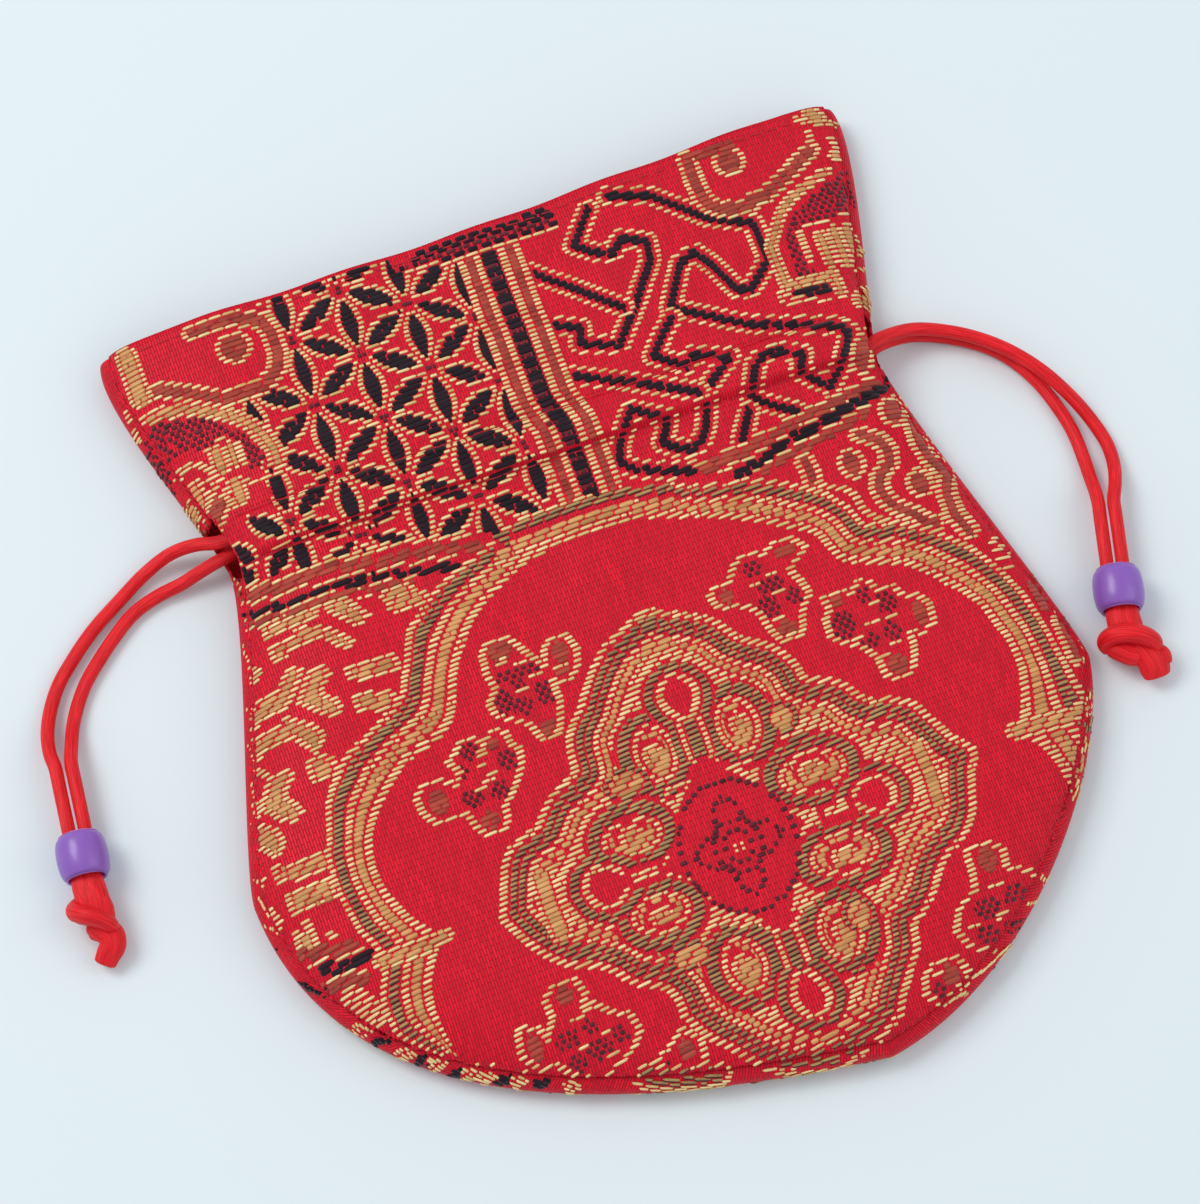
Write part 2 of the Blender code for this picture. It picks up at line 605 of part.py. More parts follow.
def knot(side, parts, material):
    """The doubled cord's overhand knot and cut end, drawn tight into one lump."""
    middle, along = BEADS[side]
    across = Vector((-along.y, along.x, 0))
    start = middle + along * (BEAD_LENGTH / 2 + TAIL_END + CLEARANCE)
    path = [
        tuple(start + across * (a / 1000) + along * (s / 1000) + Vector((0, 0, z / 1000)))
        for a, s, z in KNOT_PATHS[side]
    ]
    route = smooth_route(path, KNOT_ROUTE_STEPS)
    guide = tube(f"knot_path_{side}", route, KNOT_CORD_DIAMETER, parts, material)
    bpy.context.view_layer.update()
    graph = bpy.context.evaluated_depsgraph_get()
    data = bpy.data.meshes.new_from_object(guide.evaluated_get(graph))
    bpy.data.objects.remove(guide, do_unlink=True)
    obj = new_object(f"knot_{side}", data, parts, material)
    fuse = obj.modifiers.new("fuse", "REMESH")
    fuse.mode = "VOXEL"
    fuse.voxel_size = KNOT_VOXEL
    lighten = obj.modifiers.new("lighten", "DECIMATE")
    lighten.ratio = KNOT_KEEP
    return obj


def main():
    clear_scene()
    parts = new_collection("silk_pouch")
    guides = new_collection("guides")
    brocade = new_material("red silk brocade", (0.57, 0.01, 0.02), 0.45, sheen=0.3)
    satin_cord = new_material("red satin cord", (0.75, 0.02, 0.02), 0.40)
    plastic = new_material("purple moulded plastic", (0.26, 0.10, 0.48), 0.25)

    back_panel(parts, guides, brocade)
    front_panel(parts, guides, brocade)
    for side in ("left", "right"):
        cord(side, parts, satin_cord)
        bead(side, parts, plastic)
        knot(side, parts, satin_cord)


main()
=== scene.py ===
# %% [markdown]
# Silk drawstring pouch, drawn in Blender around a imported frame.
#
# The pouch is a small bag of red silk brocade: two panels sewn round three sides, a hem folded into the
# mouth that makes a channel for two satin cords, and a bead and a knot on each doubled cord. The frame
# gives where each of these lies. This script gives them their finish: woven threads, satin, moulded
# plastic, stitches.

# %% Load the frame
import math

import bpy
import numpy as np
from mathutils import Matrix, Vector
from mathutils.geometry import interpolate_bezier


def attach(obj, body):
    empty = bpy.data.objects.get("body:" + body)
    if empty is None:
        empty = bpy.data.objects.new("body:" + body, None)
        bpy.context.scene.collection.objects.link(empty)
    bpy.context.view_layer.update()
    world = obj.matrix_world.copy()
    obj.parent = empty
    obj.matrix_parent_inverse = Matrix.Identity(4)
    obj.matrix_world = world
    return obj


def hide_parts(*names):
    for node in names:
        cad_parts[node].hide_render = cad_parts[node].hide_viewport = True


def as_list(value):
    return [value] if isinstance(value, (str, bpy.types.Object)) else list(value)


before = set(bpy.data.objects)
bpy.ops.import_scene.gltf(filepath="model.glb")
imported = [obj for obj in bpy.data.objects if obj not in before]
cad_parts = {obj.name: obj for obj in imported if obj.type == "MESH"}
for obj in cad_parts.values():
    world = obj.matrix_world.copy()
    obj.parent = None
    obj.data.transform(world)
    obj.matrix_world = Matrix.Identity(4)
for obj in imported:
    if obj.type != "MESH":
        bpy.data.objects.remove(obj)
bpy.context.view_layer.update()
MM = 0.001

# %% [markdown]
# The camera looks down on the pouch, from its lower left side, with a long lens, so that near and far
# edges keep almost the same scale. Its place is worked out from two angles and a distance. It is made
# first because the cords are measured against what it sees.

# %% Camera
AZIMUTH, ELEVATION, DISTANCE = math.radians(-19.6), math.radians(70.0), 0.520
SENSOR, LENS = 36.0, 108.5
AIM = Vector((-0.0018, 0.0053, 0.0076))

back = Vector((
    math.sin(AZIMUTH) * math.cos(ELEVATION),
    -math.cos(AZIMUTH) * math.cos(ELEVATION),
    math.sin(ELEVATION),
))
camera_data = bpy.data.cameras.new("camera")
camera_data.sensor_width = SENSOR
camera_data.lens = LENS
camera_data.clip_start, camera_data.clip_end = 0.01, 10.0
camera = bpy.data.objects.new("camera", camera_data)
camera.location = AIM + back * DISTANCE
camera.rotation_euler = back.to_track_quat("Z", "Y").to_euler()
bpy.context.scene.collection.objects.link(camera)
bpy.context.scene.camera = camera
print("camera at", [round(v, 4) for v in camera.location])

# %% [markdown]
# Every material starts from a node tree. One function turns the hex colour of a paint card, which is
# sRGB, into the linear light that shaders work in. One more adds a node with its settings and its links.

# %% Material helpers


def linear(hex_colour):
    """Linear RGBA of an sRGB hex colour."""
    channels = [int(hex_colour[i : i + 2], 16) / 255 for i in (1, 3, 5)]
    low = [c / 12.92 if c <= 0.04045 else ((c + 0.055) / 1.055) ** 2.4 for c in channels]
    return (*low, 1.0)


def add(tree, kind, settings=None, inputs=None):
    """A new node: settings are its own properties, inputs are values or the sockets that feed it."""
    node = tree.nodes.new(kind)
    for name, value in (settings or {}).items():
        setattr(node, name, value)
    for name, value in (inputs or {}).items():
        if isinstance(value, bpy.types.NodeSocket):
            tree.links.new(value, node.inputs[name])
        else:
            node.inputs[name].default_value = value
    return node


def new_material(name, roughness, **sockets):
    material = bpy.data.materials.new(name)
    material.use_nodes = True
    shader = material.node_tree.nodes["Principled BSDF"]
    shader.inputs["Roughness"].default_value = roughness
    for socket, value in sockets.items():
        shader.inputs[socket.replace("_", " ")].default_value = value
    return material, material.node_tree, shader


def mix_colour(tree, factor, first, second):
    node = add(tree, "ShaderNodeMix", {"data_type": "RGBA"})
    for index, value in ((0, factor), (6, first), (7, second)):
        if isinstance(value, bpy.types.NodeSocket):
            tree.links.new(value, node.inputs[index])
        else:
            node.inputs[index].default_value = value
    return node.outputs[2]


# %% [markdown]
# Rattail cord is a satin sleeve woven round a cotton core, 2 mm thick. The sleeve's fibres run along
# the cord and catch the light as fine bright lines, which are painted into its colour as lighter and
# darker streaks, a painted highlight and shade, and also bumped. Each point of the tube carries its
# angle and its place along the cord, so that the pattern can follow every bend.

# %% Satin cord material
CORD_RED = "#FF262E"
CORD_FIBRE_SHADE = "#C20E18"
FIBRES_AROUND = 22

satin, tree, shader = new_material("rattail satin cord", 0.42, Specular_IOR_Level=0.22)
around = add(tree, "ShaderNodeAttribute", {"attribute_name": "around"})
fibre = add(
    tree, "ShaderNodeTexNoise", {"noise_dimensions": "3D"},
    {"Vector": around.outputs["Vector"], "Scale": 1.0, "Detail": 2.0, "Roughness": 0.6},
)
# Fibre noise paints the cord lighter and darker in streaks: painted highlight and shade along the fibres.
fibre_light_and_shade = add(
    tree, "ShaderNodeMapRange", None,
    {"Value": fibre.outputs["Fac"], "From Min": 0.35, "From Max": 0.7},
)
tree.links.new(
    mix_colour(tree, fibre_light_and_shade.outputs["Result"], linear(CORD_FIBRE_SHADE), linear(CORD_RED)),
    shader.inputs["Base Color"],
)
fibre_bump = add(
    tree, "ShaderNodeBump", None,
    {"Height": fibre.outputs["Fac"], "Strength": 0.6, "Distance": 0.0002},
)
tree.links.new(fibre_bump.outputs["Normal"], shader.inputs["Normal"])
print("cord material:", satin.name)

# %% [markdown]
# A cord follows one smooth curve. The route is a short list of given points, and the curve
# through them keeps its direction at each one. A frame that turns as little as possible is carried along
# the curve, and rings of points in that frame make the tube.

# %% Curves and tubes


def smooth_route(knots, fine=24):
    """A dense smooth curve through the knots, whose tangents follow their spacing."""
    knots = np.array(knots, float)
    gaps = np.linalg.norm(np.diff(knots, axis=0), axis=1)
    slopes = np.diff(knots, axis=0) / gaps[:, None]
    tangents = np.empty_like(knots)
    tangents[0], tangents[-1] = slopes[0], slopes[-1]
    before, after = gaps[:-1, None], gaps[1:, None]
    tangents[1:-1] = (slopes[:-1] * after + slopes[1:] * before) / (before + after)
    curve = [knots[0]]
    for index, gap in enumerate(gaps):
        for step in range(1, fine + 1):
            t = step / fine
            curve.append(
                knots[index] * (2 * t**3 - 3 * t**2 + 1)
                + tangents[index] * gap * (t**3 - 2 * t**2 + t)
                + knots[index + 1] * (3 * t**2 - 2 * t**3)
                + tangents[index + 1] * gap * (t**3 - t**2)
            )
    return np.array(curve)


def lengths_along(points):
    """The way from the first point to each point."""
    return np.concatenate(([0.0], np.cumsum(np.linalg.norm(np.diff(points, axis=0), axis=1))))


def spaced(points, shares):
    """Points at the given shares of the length of a polyline."""
    length = lengths_along(points)
    wanted = np.asarray(shares) * length[-1]
    return np.column_stack([np.interp(wanted, length, values) for values in points.T])


def path_length(points):
    return float(np.linalg.norm(np.diff(points, axis=0), axis=1).sum())


def evenly(points, step):
    return spaced(points, np.linspace(0, 1, max(2, round(path_length(points) / step) + 1)))


def carried_frame(points):
    """Tangent and two square directions at each point, turned as little as possible."""
    tangents = np.gradient(points, axis=0)
    tangents /= np.linalg.norm(tangents, axis=1, keepdims=True)
    side = np.cross(tangents[0], (0.0, 0.0, 1.0))
    if np.linalg.norm(side) < 0.1:
        side = np.cross(tangents[0], (1.0, 0.0, 0.0))
    sides = []
    for tangent in tangents:
        side = side - tangent * (side @ tangent)
        side = side / np.linalg.norm(side)
        sides.append(side)
    sides = np.array(sides)
    return tangents, sides, np.cross(tangents, sides)


def ring_faces(rings, sides):
    """Faces of a closed tube of rings, with a flat face at each end."""
    faces = []
    for ring in range(rings - 1):
        for k in range(sides):
            a, b = ring * sides + k, ring * sides + (k + 1) % sides
            faces.append((a, b, b + sides, a + sides))
    last = (rings - 1) * sides
    return [*faces, tuple(range(sides))[::-1], tuple(last + k for k in range(sides))]


CORD_SIDES = 16
FIBRE_PITCH = 250.0  # the fibres' pattern is this many units a metre along the cord


def tube_rings(points, radii):
    """Vertices, faces and the fibre attribute of a closed tube with rounded ends."""
    _, sides, ups = carried_frame(points)
    angles = np.linspace(0, 2 * math.pi, CORD_SIDES, endpoint=False)
    verts, around_cord = [], []
    turn = FIBRES_AROUND / math.pi
    for point, side, up, radius, place in zip(points, sides, ups, radii, lengths_along(points)):
        for angle in angles:
            verts.append(point + (side * math.cos(angle) + up * math.sin(angle)) * radius)
            around_cord.append((math.cos(angle) * turn, math.sin(angle) * turn, place * FIBRE_PITCH))
    return verts, ring_faces(len(points), CORD_SIDES), around_cord


def mesh_object(name, verts, faces, material, attribute=None, values=None):
    """A smooth object at the origin; a vector attribute may ride on its points."""
    mesh = bpy.data.meshes.new(name)
    mesh.from_pydata([tuple(v) for v in verts], [], faces)
    mesh.materials.append(material)
    if attribute:
        stored = mesh.attributes.new(attribute, "FLOAT_VECTOR", "POINT")
        stored.data.foreach_set("vector", np.asarray(values, np.float32).ravel())
    mesh.shade_smooth()
    mesh.validate()
    obj = bpy.data.objects.new(name, mesh)
    bpy.context.scene.collection.objects.link(obj)
    return obj


def round_ends(points, radius):
    """Radii along a tube that close to small flat ends over one radius."""
    length = lengths_along(points)
    from_end = np.minimum(length, length[-1] - length)
    share = np.clip(from_end / (0.5 * radius), 0, 1)
    return radius * (0.55 + 0.45 * np.sqrt(1 - (1 - share) ** 2))


def cord_object(name, points, radius, material):
    verts, faces, around_cord = tube_rings(points, round_ends(points, radius))
    return mesh_object(name, verts, faces, material, "around", around_cord)


# %% [markdown]
# The pouch's own sizes set where the cords run. Each leaves a slit at one side of the neck twice: one
# strand comes out of the front channel and one out of the back channel. They lie on the table in a
# loose bow, then run side by side through the bead and into the knot.

# %% Sizes shared with the frame
HEIGHT, BODY_WIDTH, NECK_WIDTH, MOUTH_WIDTH = 0.1394, 0.1246, 0.1008, 0.1172
MOUTH_RISE, MOUTH_SAG = 0.0032, 0.0014  # the front's cloth just hides the back's mouth from the camera
NECK_DROP, BELLY_DROP_LEFT, BELLY_DROP_RIGHT = 0.0410, 0.0897, 0.0942
TIP_X = 0.0145
WALL, ROLL_RADIUS, SEAM_INSET, CLEARANCE = 0.0005, 0.00265, 0.0018, 0.0003
CROWN_BODY, CROWN_NECK, CROWN_MOUTH = 0.0100, 0.0106, 0.0096
SHOULDER, FOLD_DEPTH, FOLD_PITCH = 0.016, 0.00035, 0.020
FOLD_FADE, FOLD_START, FOLD_LENGTH = 0.010, 0.015, 0.025
CHANNEL_DROP, CHANNEL_WIDTH, CAVITY = 0.0387, 0.0074, 0.0026
CHANNEL_LIFT, CHANNEL_SLOPE, HEM_TAIL, HEM_INSET = 0.0013, 0.0010, 0.0019, 0.0080
SLIT_LENGTH, SLIT_OFFSET, SLIT_LIFT, ARCH_FADE = 0.0064, 0.0006, 0.0030, 0.0055
SLIT_FLOOR = 0.0024
HEM_TO_BODY = 0.011
CORNER_LEVEL = 0.012
CORD_DIAMETER, LANE_OFFSET, STRAND_OFFSET = 0.0020, 0.0013, 0.00115
BEAD_DIAMETER, BEAD_LENGTH, BEAD_BORE, BEAD_END_DIAMETER = 0.0074, 0.0065, 0.0050, 0.0062
BEAD_LIP, BEAD_HEIGHT, BEAD_TRAVEL, TAIL_END = 0.0004, 0.0038, 0.0080, 0.0012

MOUTH_Y = HEIGHT / 2
CHANNEL_Y = MOUTH_Y - CHANNEL_DROP
SLIT_Y = CHANNEL_Y + SLIT_OFFSET
STITCH_LOW = CHANNEL_Y - CHANNEL_WIDTH / 2
STITCH_HIGH = CHANNEL_Y + CHANNEL_WIDTH / 2
HEM_LOW = STITCH_LOW - HEM_TAIL
JOIN_Y = HEM_LOW - HEM_TO_BODY
SEAM_ANGLE = math.acos(1 - SEAM_INSET / ROLL_RADIUS)
SEAM_HEIGHT = ROLL_RADIUS * (1 + math.sin(SEAM_ANGLE))
FRONT_INSET = SEAM_INSET + CLEARANCE
CHANNEL_END = NECK_WIDTH / 2 - HEM_INSET
BACK_LANE_HEIGHT = WALL + CAVITY / 2

BEADS = {
    "left": (Vector((-0.0828, -0.0050, BEAD_HEIGHT)), Vector((-0.094, -0.996, 0)).normalized()),
    "right": (Vector((0.0699, -0.0168, BEAD_HEIGHT)), Vector((-0.256, -0.967, 0)).normalized()),
}
STRANDS = {
    "left": (
        [(-45.0, 32.5, 8.4), (-46.6, 32.7, 7.4), (-48.3, 32.9, 6.3), (-50.6, 33.2, 5.5),
         (-53.6, 34.3, 4.5), (-57.5, 34.9, 2.8), (-61.8, 33.8, 1.5), (-66.6, 31.2, 1.05),
         (-71.7, 28.0, 1.05), (-75.7, 24.7, 1.05), (-78.9, 21.5, 1.05), (-81.1, 18.0, 1.3),
         (-82.4, 14.4, 2.2), (-82.8, 11.2, 3.2)],
        [(-45.2, 32.2, 2.3), (-47.2, 31.8, 3.4), (-49.2, 31.4, 3.9), (-51.4, 31.1, 3.8),
         (-54.2, 30.8, 2.8), (-57.4, 30.3, 1.8), (-61.2, 29.9, 1.2), (-65.4, 28.5, 1.05),
         (-69.0, 26.0, 1.05), (-72.2, 23.3, 1.05), (-74.8, 20.8, 1.05), (-76.9, 18.0, 1.05),
         (-78.5, 15.0, 1.4), (-79.7, 11.4, 2.6)],
    ),
    "right": (
        [(45.0, 29.7, 8.4), (46.6, 29.9, 7.4), (48.3, 30.2, 6.4), (50.6, 30.9, 6.0),
         (53.4, 31.4, 5.2), (56.6, 31.5, 4.2), (61.6, 29.8, 3.4), (68.3, 24.8, 3.3),
         (72.4, 19.5, 3.2), (75.0, 14.7, 2.6), (76.9, 10.2, 1.5), (77.8, 5.6, 1.1),
         (77.2, 1.9, 1.9), (75.9, -1.2, 3.1)],
        [(45.2, 29.7, 2.3), (47.2, 29.8, 3.4), (49.2, 30.3, 3.8), (51.0, 30.9, 3.6),
         (53.4, 31.4, 2.8), (56.6, 31.5, 1.8), (61.7, 29.8, 1.1), (68.4, 24.7, 1.05),
         (71.6, 19.2, 1.05), (73.1, 14.0, 1.05), (73.8, 9.1, 1.05), (73.7, 5.0, 1.05),
         (73.3, 1.5, 1.6), (72.8, -1.2, 2.9)],
    ),
}
BEAD_LEAD, STRAIGHT_LEAD = 0.0025, 0.0004  # points this far before the bead straighten its strands


def straight_pair(side, strand):
    """The strand's end through the bead, from the top of the bead's travel to the knot."""
    middle, along = BEADS[side]
    across = Vector((-along.y, along.x, 0))
    outer = -1 if side == "left" else 1
    offset = across * STRAND_OFFSET * (outer if strand == 0 else -outer)
    top = BEAD_LENGTH / 2 + BEAD_TRAVEL
    end = BEAD_LENGTH / 2 + TAIL_END
    stations = (-top - BEAD_LEAD, -top - STRAIGHT_LEAD, -top / 2, 0, end)
    return [tuple(middle + offset + along * station) for station in stations]


# %% [markdown]
# The free strands run from inside the slits over the table and through the beads to the knots.

# %% Free strands
CORD_RADIUS = CORD_DIAMETER / 2
RING_STEP = 0.0004
STRAND_NAMES = ("front", "back")
free_strands = {}
for side in ("left", "right"):
    for index, where in enumerate(STRAND_NAMES):
        knots = [np.array(point) * MM for point in STRANDS[side][index]] + straight_pair(side, index)
        points = evenly(smooth_route(knots), RING_STEP)
        name = f"cord_{side}_{where}"
        free_strands[name] = (cord_object(name, points, CORD_RADIUS, satin), points)
        print(name, "is", round(path_length(points) * 1000, 1), "mm long")

# %% [markdown]
# The functions below give the shape of the cloth: the outline, the seam inside it, the height of the
# front with its crown, folds, channel and stitch grooves, and the rows of points its sheets run through.

# %% Soft shapes of the cloth


def smooth(low, high, value):
    """0 below low, 1 above high and a smooth step between them."""
    share = np.clip((value - low) / (high - low), 0.0, 1.0)
    return share * share * (3 - 2 * share)


def outline(steps=(44, 36, 90, 90, 36, 44)):
    """The pouch's outline from the left mouth corner, down and round the bottom, to the right one."""
    neck_y = MOUTH_Y - NECK_DROP
    left_corner = (-MOUTH_WIDTH / 2, MOUTH_Y - MOUTH_RISE)
    left_neck, right_neck = (-NECK_WIDTH / 2, neck_y), (NECK_WIDTH / 2, neck_y)
    left_belly = (-BODY_WIDTH / 2, MOUTH_Y - BELLY_DROP_LEFT)
    right_belly = (BODY_WIDTH / 2, MOUTH_Y - BELLY_DROP_RIGHT)
    tip = (TIP_X, -MOUTH_Y)
    right_corner = (MOUTH_WIDTH / 2, MOUTH_Y)
    stretches = (
        (left_corner, (-0.0023, -0.0061), (-0.0012, 0.0078), left_neck),
        (left_neck, (0.0, -0.0088), (0.0, 0.0059), left_belly),
        (left_belly, (0.0019, -0.0390), (-0.0251, 0.0034), tip),
        (tip, (0.0242, 0.0038), (-0.0024, -0.0140), right_belly),
        (right_belly, (0.0, 0.0059), (0.0, -0.0076), right_neck),
        (right_neck, (0.0005, 0.0065), (0.0023, -0.0061), right_corner),
    )
    points = []
    for (start, leave, arrive, end), count in zip(stretches, steps):
        start, end = Vector(start), Vector(end)
        stretch = interpolate_bezier(start, start + Vector(leave), end + Vector(arrive), end, count + 1)
        points += stretch if not points else stretch[1:]
    return np.array([point.to_2d() for point in points])


OUTLINE = outline()


def inward_directions():
    """Unit vectors into the pouch, square to the outline but level at the two mouth corners."""
    tangents = np.gradient(OUTLINE, axis=0)
    tangents /= np.linalg.norm(tangents, axis=1, keepdims=True)
    inward = np.column_stack((-tangents[:, 1], tangents[:, 0]))
    level = np.column_stack((-np.sign(OUTLINE[:, 0]), np.zeros(len(OUTLINE))))
    corner_y = np.where(OUTLINE[:, 0] < 0, MOUTH_Y - MOUTH_RISE, MOUTH_Y)
    share = smooth(CORNER_LEVEL, 0.0, corner_y - OUTLINE[:, 1])[:, None]
    mixed = inward * (1 - share) + level * share
    return mixed / np.linalg.norm(mixed, axis=1, keepdims=True)


INWARD = inward_directions()
OVERLAP = 0.00012  # how far the front reaches past the seam, over the rolled edge
SEAM = OUTLINE + INWARD * (SEAM_INSET - OVERLAP)
SEAM_FINE = spaced(SEAM, np.linspace(0, 1, 700))


def side_x(curve, y, sign):
    """Where one side of a curve inside the outline crosses a height y above its belly."""
    belly_y = MOUTH_Y - (BELLY_DROP_LEFT if sign < 0 else BELLY_DROP_RIGHT)
    side = curve[(curve[:, 0] * sign > 0) & (curve[:, 1] > belly_y)]
    side = side[np.argsort(side[:, 1])]
    return np.interp(y, side[:, 1], side[:, 0])


def channel_swell(y):
    """1 over the cords, 0 beyond the two stitch lines."""
    half = CHANNEL_WIDTH / 2
    return 1 - smooth(half - CHANNEL_SLOPE, half, np.abs(y - CHANNEL_Y))


def nearest(points, curve, most=4000):
    """Distance from each point to the curve's points, and which one is nearest, in slices."""
    gaps, at = np.empty(len(points)), np.empty(len(points), int)
    for start in range(0, len(points), most):
        part = points[start : start + most]
        all_gaps = (
            (part[:, None, 0] - curve[None, :, 0]) ** 2 + (part[:, None, 1] - curve[None, :, 1]) ** 2
        )
        at[start : start + most] = all_gaps.argmin(axis=1)
        gaps[start : start + most] = np.sqrt(all_gaps.min(axis=1))
    return gaps, at


# The distance to the seam is read from a grid, which is quicker than from the curve each time.
GRID_STEP = 0.0005
GRID_X = np.arange(-0.066, 0.0661, GRID_STEP)
GRID_Y = np.arange(-0.073, 0.0731, GRID_STEP)
grid_points = np.stack(np.meshgrid(GRID_X, GRID_Y), axis=-1).reshape(-1, 2)
SEAM_GRID = nearest(grid_points, SEAM_FINE)[0].reshape(len(GRID_Y), len(GRID_X))


def read_grid(grid, x, y):
    """A grid's value between its points."""
    column = np.clip((x - GRID_X[0]) / GRID_STEP, 0, len(GRID_X) - 1.001)
    row = np.clip((y - GRID_Y[0]) / GRID_STEP, 0, len(GRID_Y) - 1.001)
    c, r = column.astype(int), row.astype(int)
    u, v = column - c, row - r
    return (
        grid[r, c] * (1 - u) * (1 - v) + grid[r, c + 1] * u * (1 - v)
        + grid[r + 1, c] * (1 - u) * v + grid[r + 1, c + 1] * u * v
    )


def front_base(x, y):
    """Height of the front's outer face, without the swelling of the channel."""
    distance = read_grid(SEAM_GRID, x, y)
    to_slit = np.abs(y - SLIT_Y) - SLIT_LENGTH / 2
    rim = SEAM_HEIGHT + SLIT_LIFT * (1 - smooth(0, ARCH_FADE, to_slit)) * (y > JOIN_Y)
    crown = CROWN_BODY + (CROWN_NECK - CROWN_BODY) * smooth(JOIN_Y, STITCH_LOW, y)
    crown = crown + (CROWN_MOUTH - CROWN_NECK) * smooth(STITCH_HIGH, MOUTH_Y, y)
    share = np.clip(distance / SHOULDER, 0, 1)
    height = rim + (crown - rim) * np.sqrt(1 - (1 - share) ** 2)
    in_frill = smooth(STITCH_HIGH, MOUTH_Y - FOLD_FADE, y)
    full, gone = STITCH_LOW - FOLD_START, STITCH_LOW - FOLD_START - FOLD_LENGTH
    below = smooth(STITCH_LOW, STITCH_LOW - FOLD_FADE, y) * smooth(gone, full, y)
    folds = FOLD_DEPTH * (in_frill + below) * np.cos(2 * math.pi * x / FOLD_PITCH)
    return height + folds * share


STITCH_GROOVE, STITCH_REACH = 0.00014, 0.0007
PUCKER_DEPTH, PUCKER_REACH = 0.00016, 0.0040
DRAPE = 0.00022


def drape(x, y):
    """The cloth's own unevenness: low broad waves, and puckers that stand square to the stitch lines."""
    waves = np.sin(x / 0.0087 + 1.3 * np.sin(y / 0.016)) * np.cos(y / 0.0113 + 0.9 * np.sin(x / 0.021))
    tight = np.zeros_like(x)
    for line in (STITCH_LOW, STITCH_HIGH):
        near = np.exp(-(((y - line) / PUCKER_REACH) ** 2))
        tight = tight + near * np.sin(x / 0.00105 + 2.1 * np.sin(x / 0.0052) + line * 900)
    return DRAPE * waves + PUCKER_DEPTH * tight


def front_height(x, y):
    """Height of the front's outer face, with the channel, its stitch grooves and the drape."""
    distance = read_grid(SEAM_GRID, x, y)
    rise = smooth(0, HEM_INSET - FRONT_INSET, distance)
    groove = sum(np.exp(-(((y - line) / STITCH_REACH) ** 2)) for line in (STITCH_LOW, STITCH_HIGH))
    height = front_base(x, y) + CHANNEL_LIFT * channel_swell(y) * rise
    return height - STITCH_GROOVE * groove * rise + drape(x, y) * smooth(0, 0.010, distance)


def crowded(count, power=1.35):
    """Shares from 0 to 1 that stand closer together at both ends."""
    t = np.linspace(-1, 1, count)
    return 0.5 + 0.5 * np.sign(t) * (1 - (1 - np.abs(t)) ** power)


def straight_row(curve, y, shares):
    left, right = side_x(curve, y, -1), side_x(curve, y, 1)
    return np.column_stack((left + (right - left) * shares, np.full(len(shares), y)))


def frill_rows(curve, shares, count, short=0.0):
    """Rows that turn from straight, above the channel, into the line of the mouth."""
    foot = straight_row(curve, STITCH_HIGH + HEM_TAIL, shares)
    top_left = MOUTH_Y - MOUTH_RISE - short
    top_right = MOUTH_Y - short
    rows = []
    for part in np.linspace(0, 1, count + 1)[1:]:
        y_left = foot[0, 1] + (top_left - foot[0, 1]) * part
        y_right = foot[-1, 1] + (top_right - foot[-1, 1]) * part
        x = side_x(curve, y_left, -1) * (1 - shares) + side_x(curve, y_right, 1) * shares
        level = y_left * (1 - shares) + y_right * shares
        sag = MOUTH_SAG * part * np.clip(1 - (2 * shares - 1) ** 2, 0, 1)
        rows.append(np.column_stack((x, level - sag)))
    return rows


PATCH_SIDE = 0.26


def lower_rows(shares, count):
    """Rows of a patch that fills the round bottom between four sides of the seam."""
    top = straight_row(SEAM, JOIN_Y, shares)
    at_left = np.argmin(np.linalg.norm(SEAM_FINE - top[0], axis=1))
    at_right = np.argmin(np.linalg.norm(SEAM_FINE - top[-1], axis=1))
    corner_left = at_left + int(PATCH_SIDE * (at_right - at_left))
    corner_right = at_right - int(PATCH_SIDE * (at_right - at_left))
    heights = np.linspace(0, 1, count + 1) ** 1.25
    bottom = spaced(SEAM_FINE[corner_left : corner_right + 1], shares)
    left = spaced(SEAM_FINE[at_left : corner_left + 1][::-1], heights)
    right = spaced(SEAM_FINE[corner_right : at_right + 1], heights)
    rows = []
    for share, a, b in zip(heights, left, right):
        across = shares[:, None]
        sides = a * (1 - across) + b * across
        ends = bottom * (1 - share) + top * share
        low = bottom[0] * (1 - across) + bottom[-1] * across
        high = top[0] * (1 - across) + top[-1] * across
        rows.append(sides + ends - low * (1 - share) - high * share)
    return rows[:-1]


def sheet_of_rows(name, rows, heights, material, thickness):
    """A sheet of quads through rows of points, thickened downwards, with its flat place as UV."""
    wide = len(rows[0])
    points = np.concatenate([np.column_stack((row, level)) for row, level in zip(rows, heights)])
    faces = [
        (r * wide + c, r * wide + c + 1, (r + 1) * wide + c + 1, (r + 1) * wide + c)
        for r in range(len(rows) - 1)
        for c in range(wide - 1)
    ]
    return thick_sheet(name, points, faces, points[:, :2], material, thickness)


def thick_sheet(name, points, faces, flat, material, thickness):
    obj = mesh_object(name, points, faces, material)
    layer = obj.data.uv_layers.new(name="cloth")
    for loop in obj.data.loops:
        layer.data[loop.index].uv = flat[loop.vertex_index] / MM
    wall = obj.modifiers.new("wall", "SOLIDIFY")
    wall.thickness = thickness
    wall.offset = -1
    wall.use_even_offset = False
    return apply_modifiers(obj)


def apply_modifiers(obj):
    """The evaluated mesh takes the place of the object's own, and the modifiers go."""
    bpy.context.view_layer.update()
    graph = bpy.context.evaluated_depsgraph_get()
    mesh = bpy.data.meshes.new_from_object(obj.evaluated_get(graph))
    obj.modifiers.clear()
    obj.data = mesh
    return obj


def lane_height(x, y):
    """Height of a cord's middle in the front channel."""
    return front_base(x, y) + CHANNEL_LIFT - WALL - CAVITY / 2


# %% [markdown]
# Inside the channel each cord runs across the pouch and turns round at the far side. That stretch is
# hidden, so it is one plain tube of the same satin, with the same lanes as in the frame.

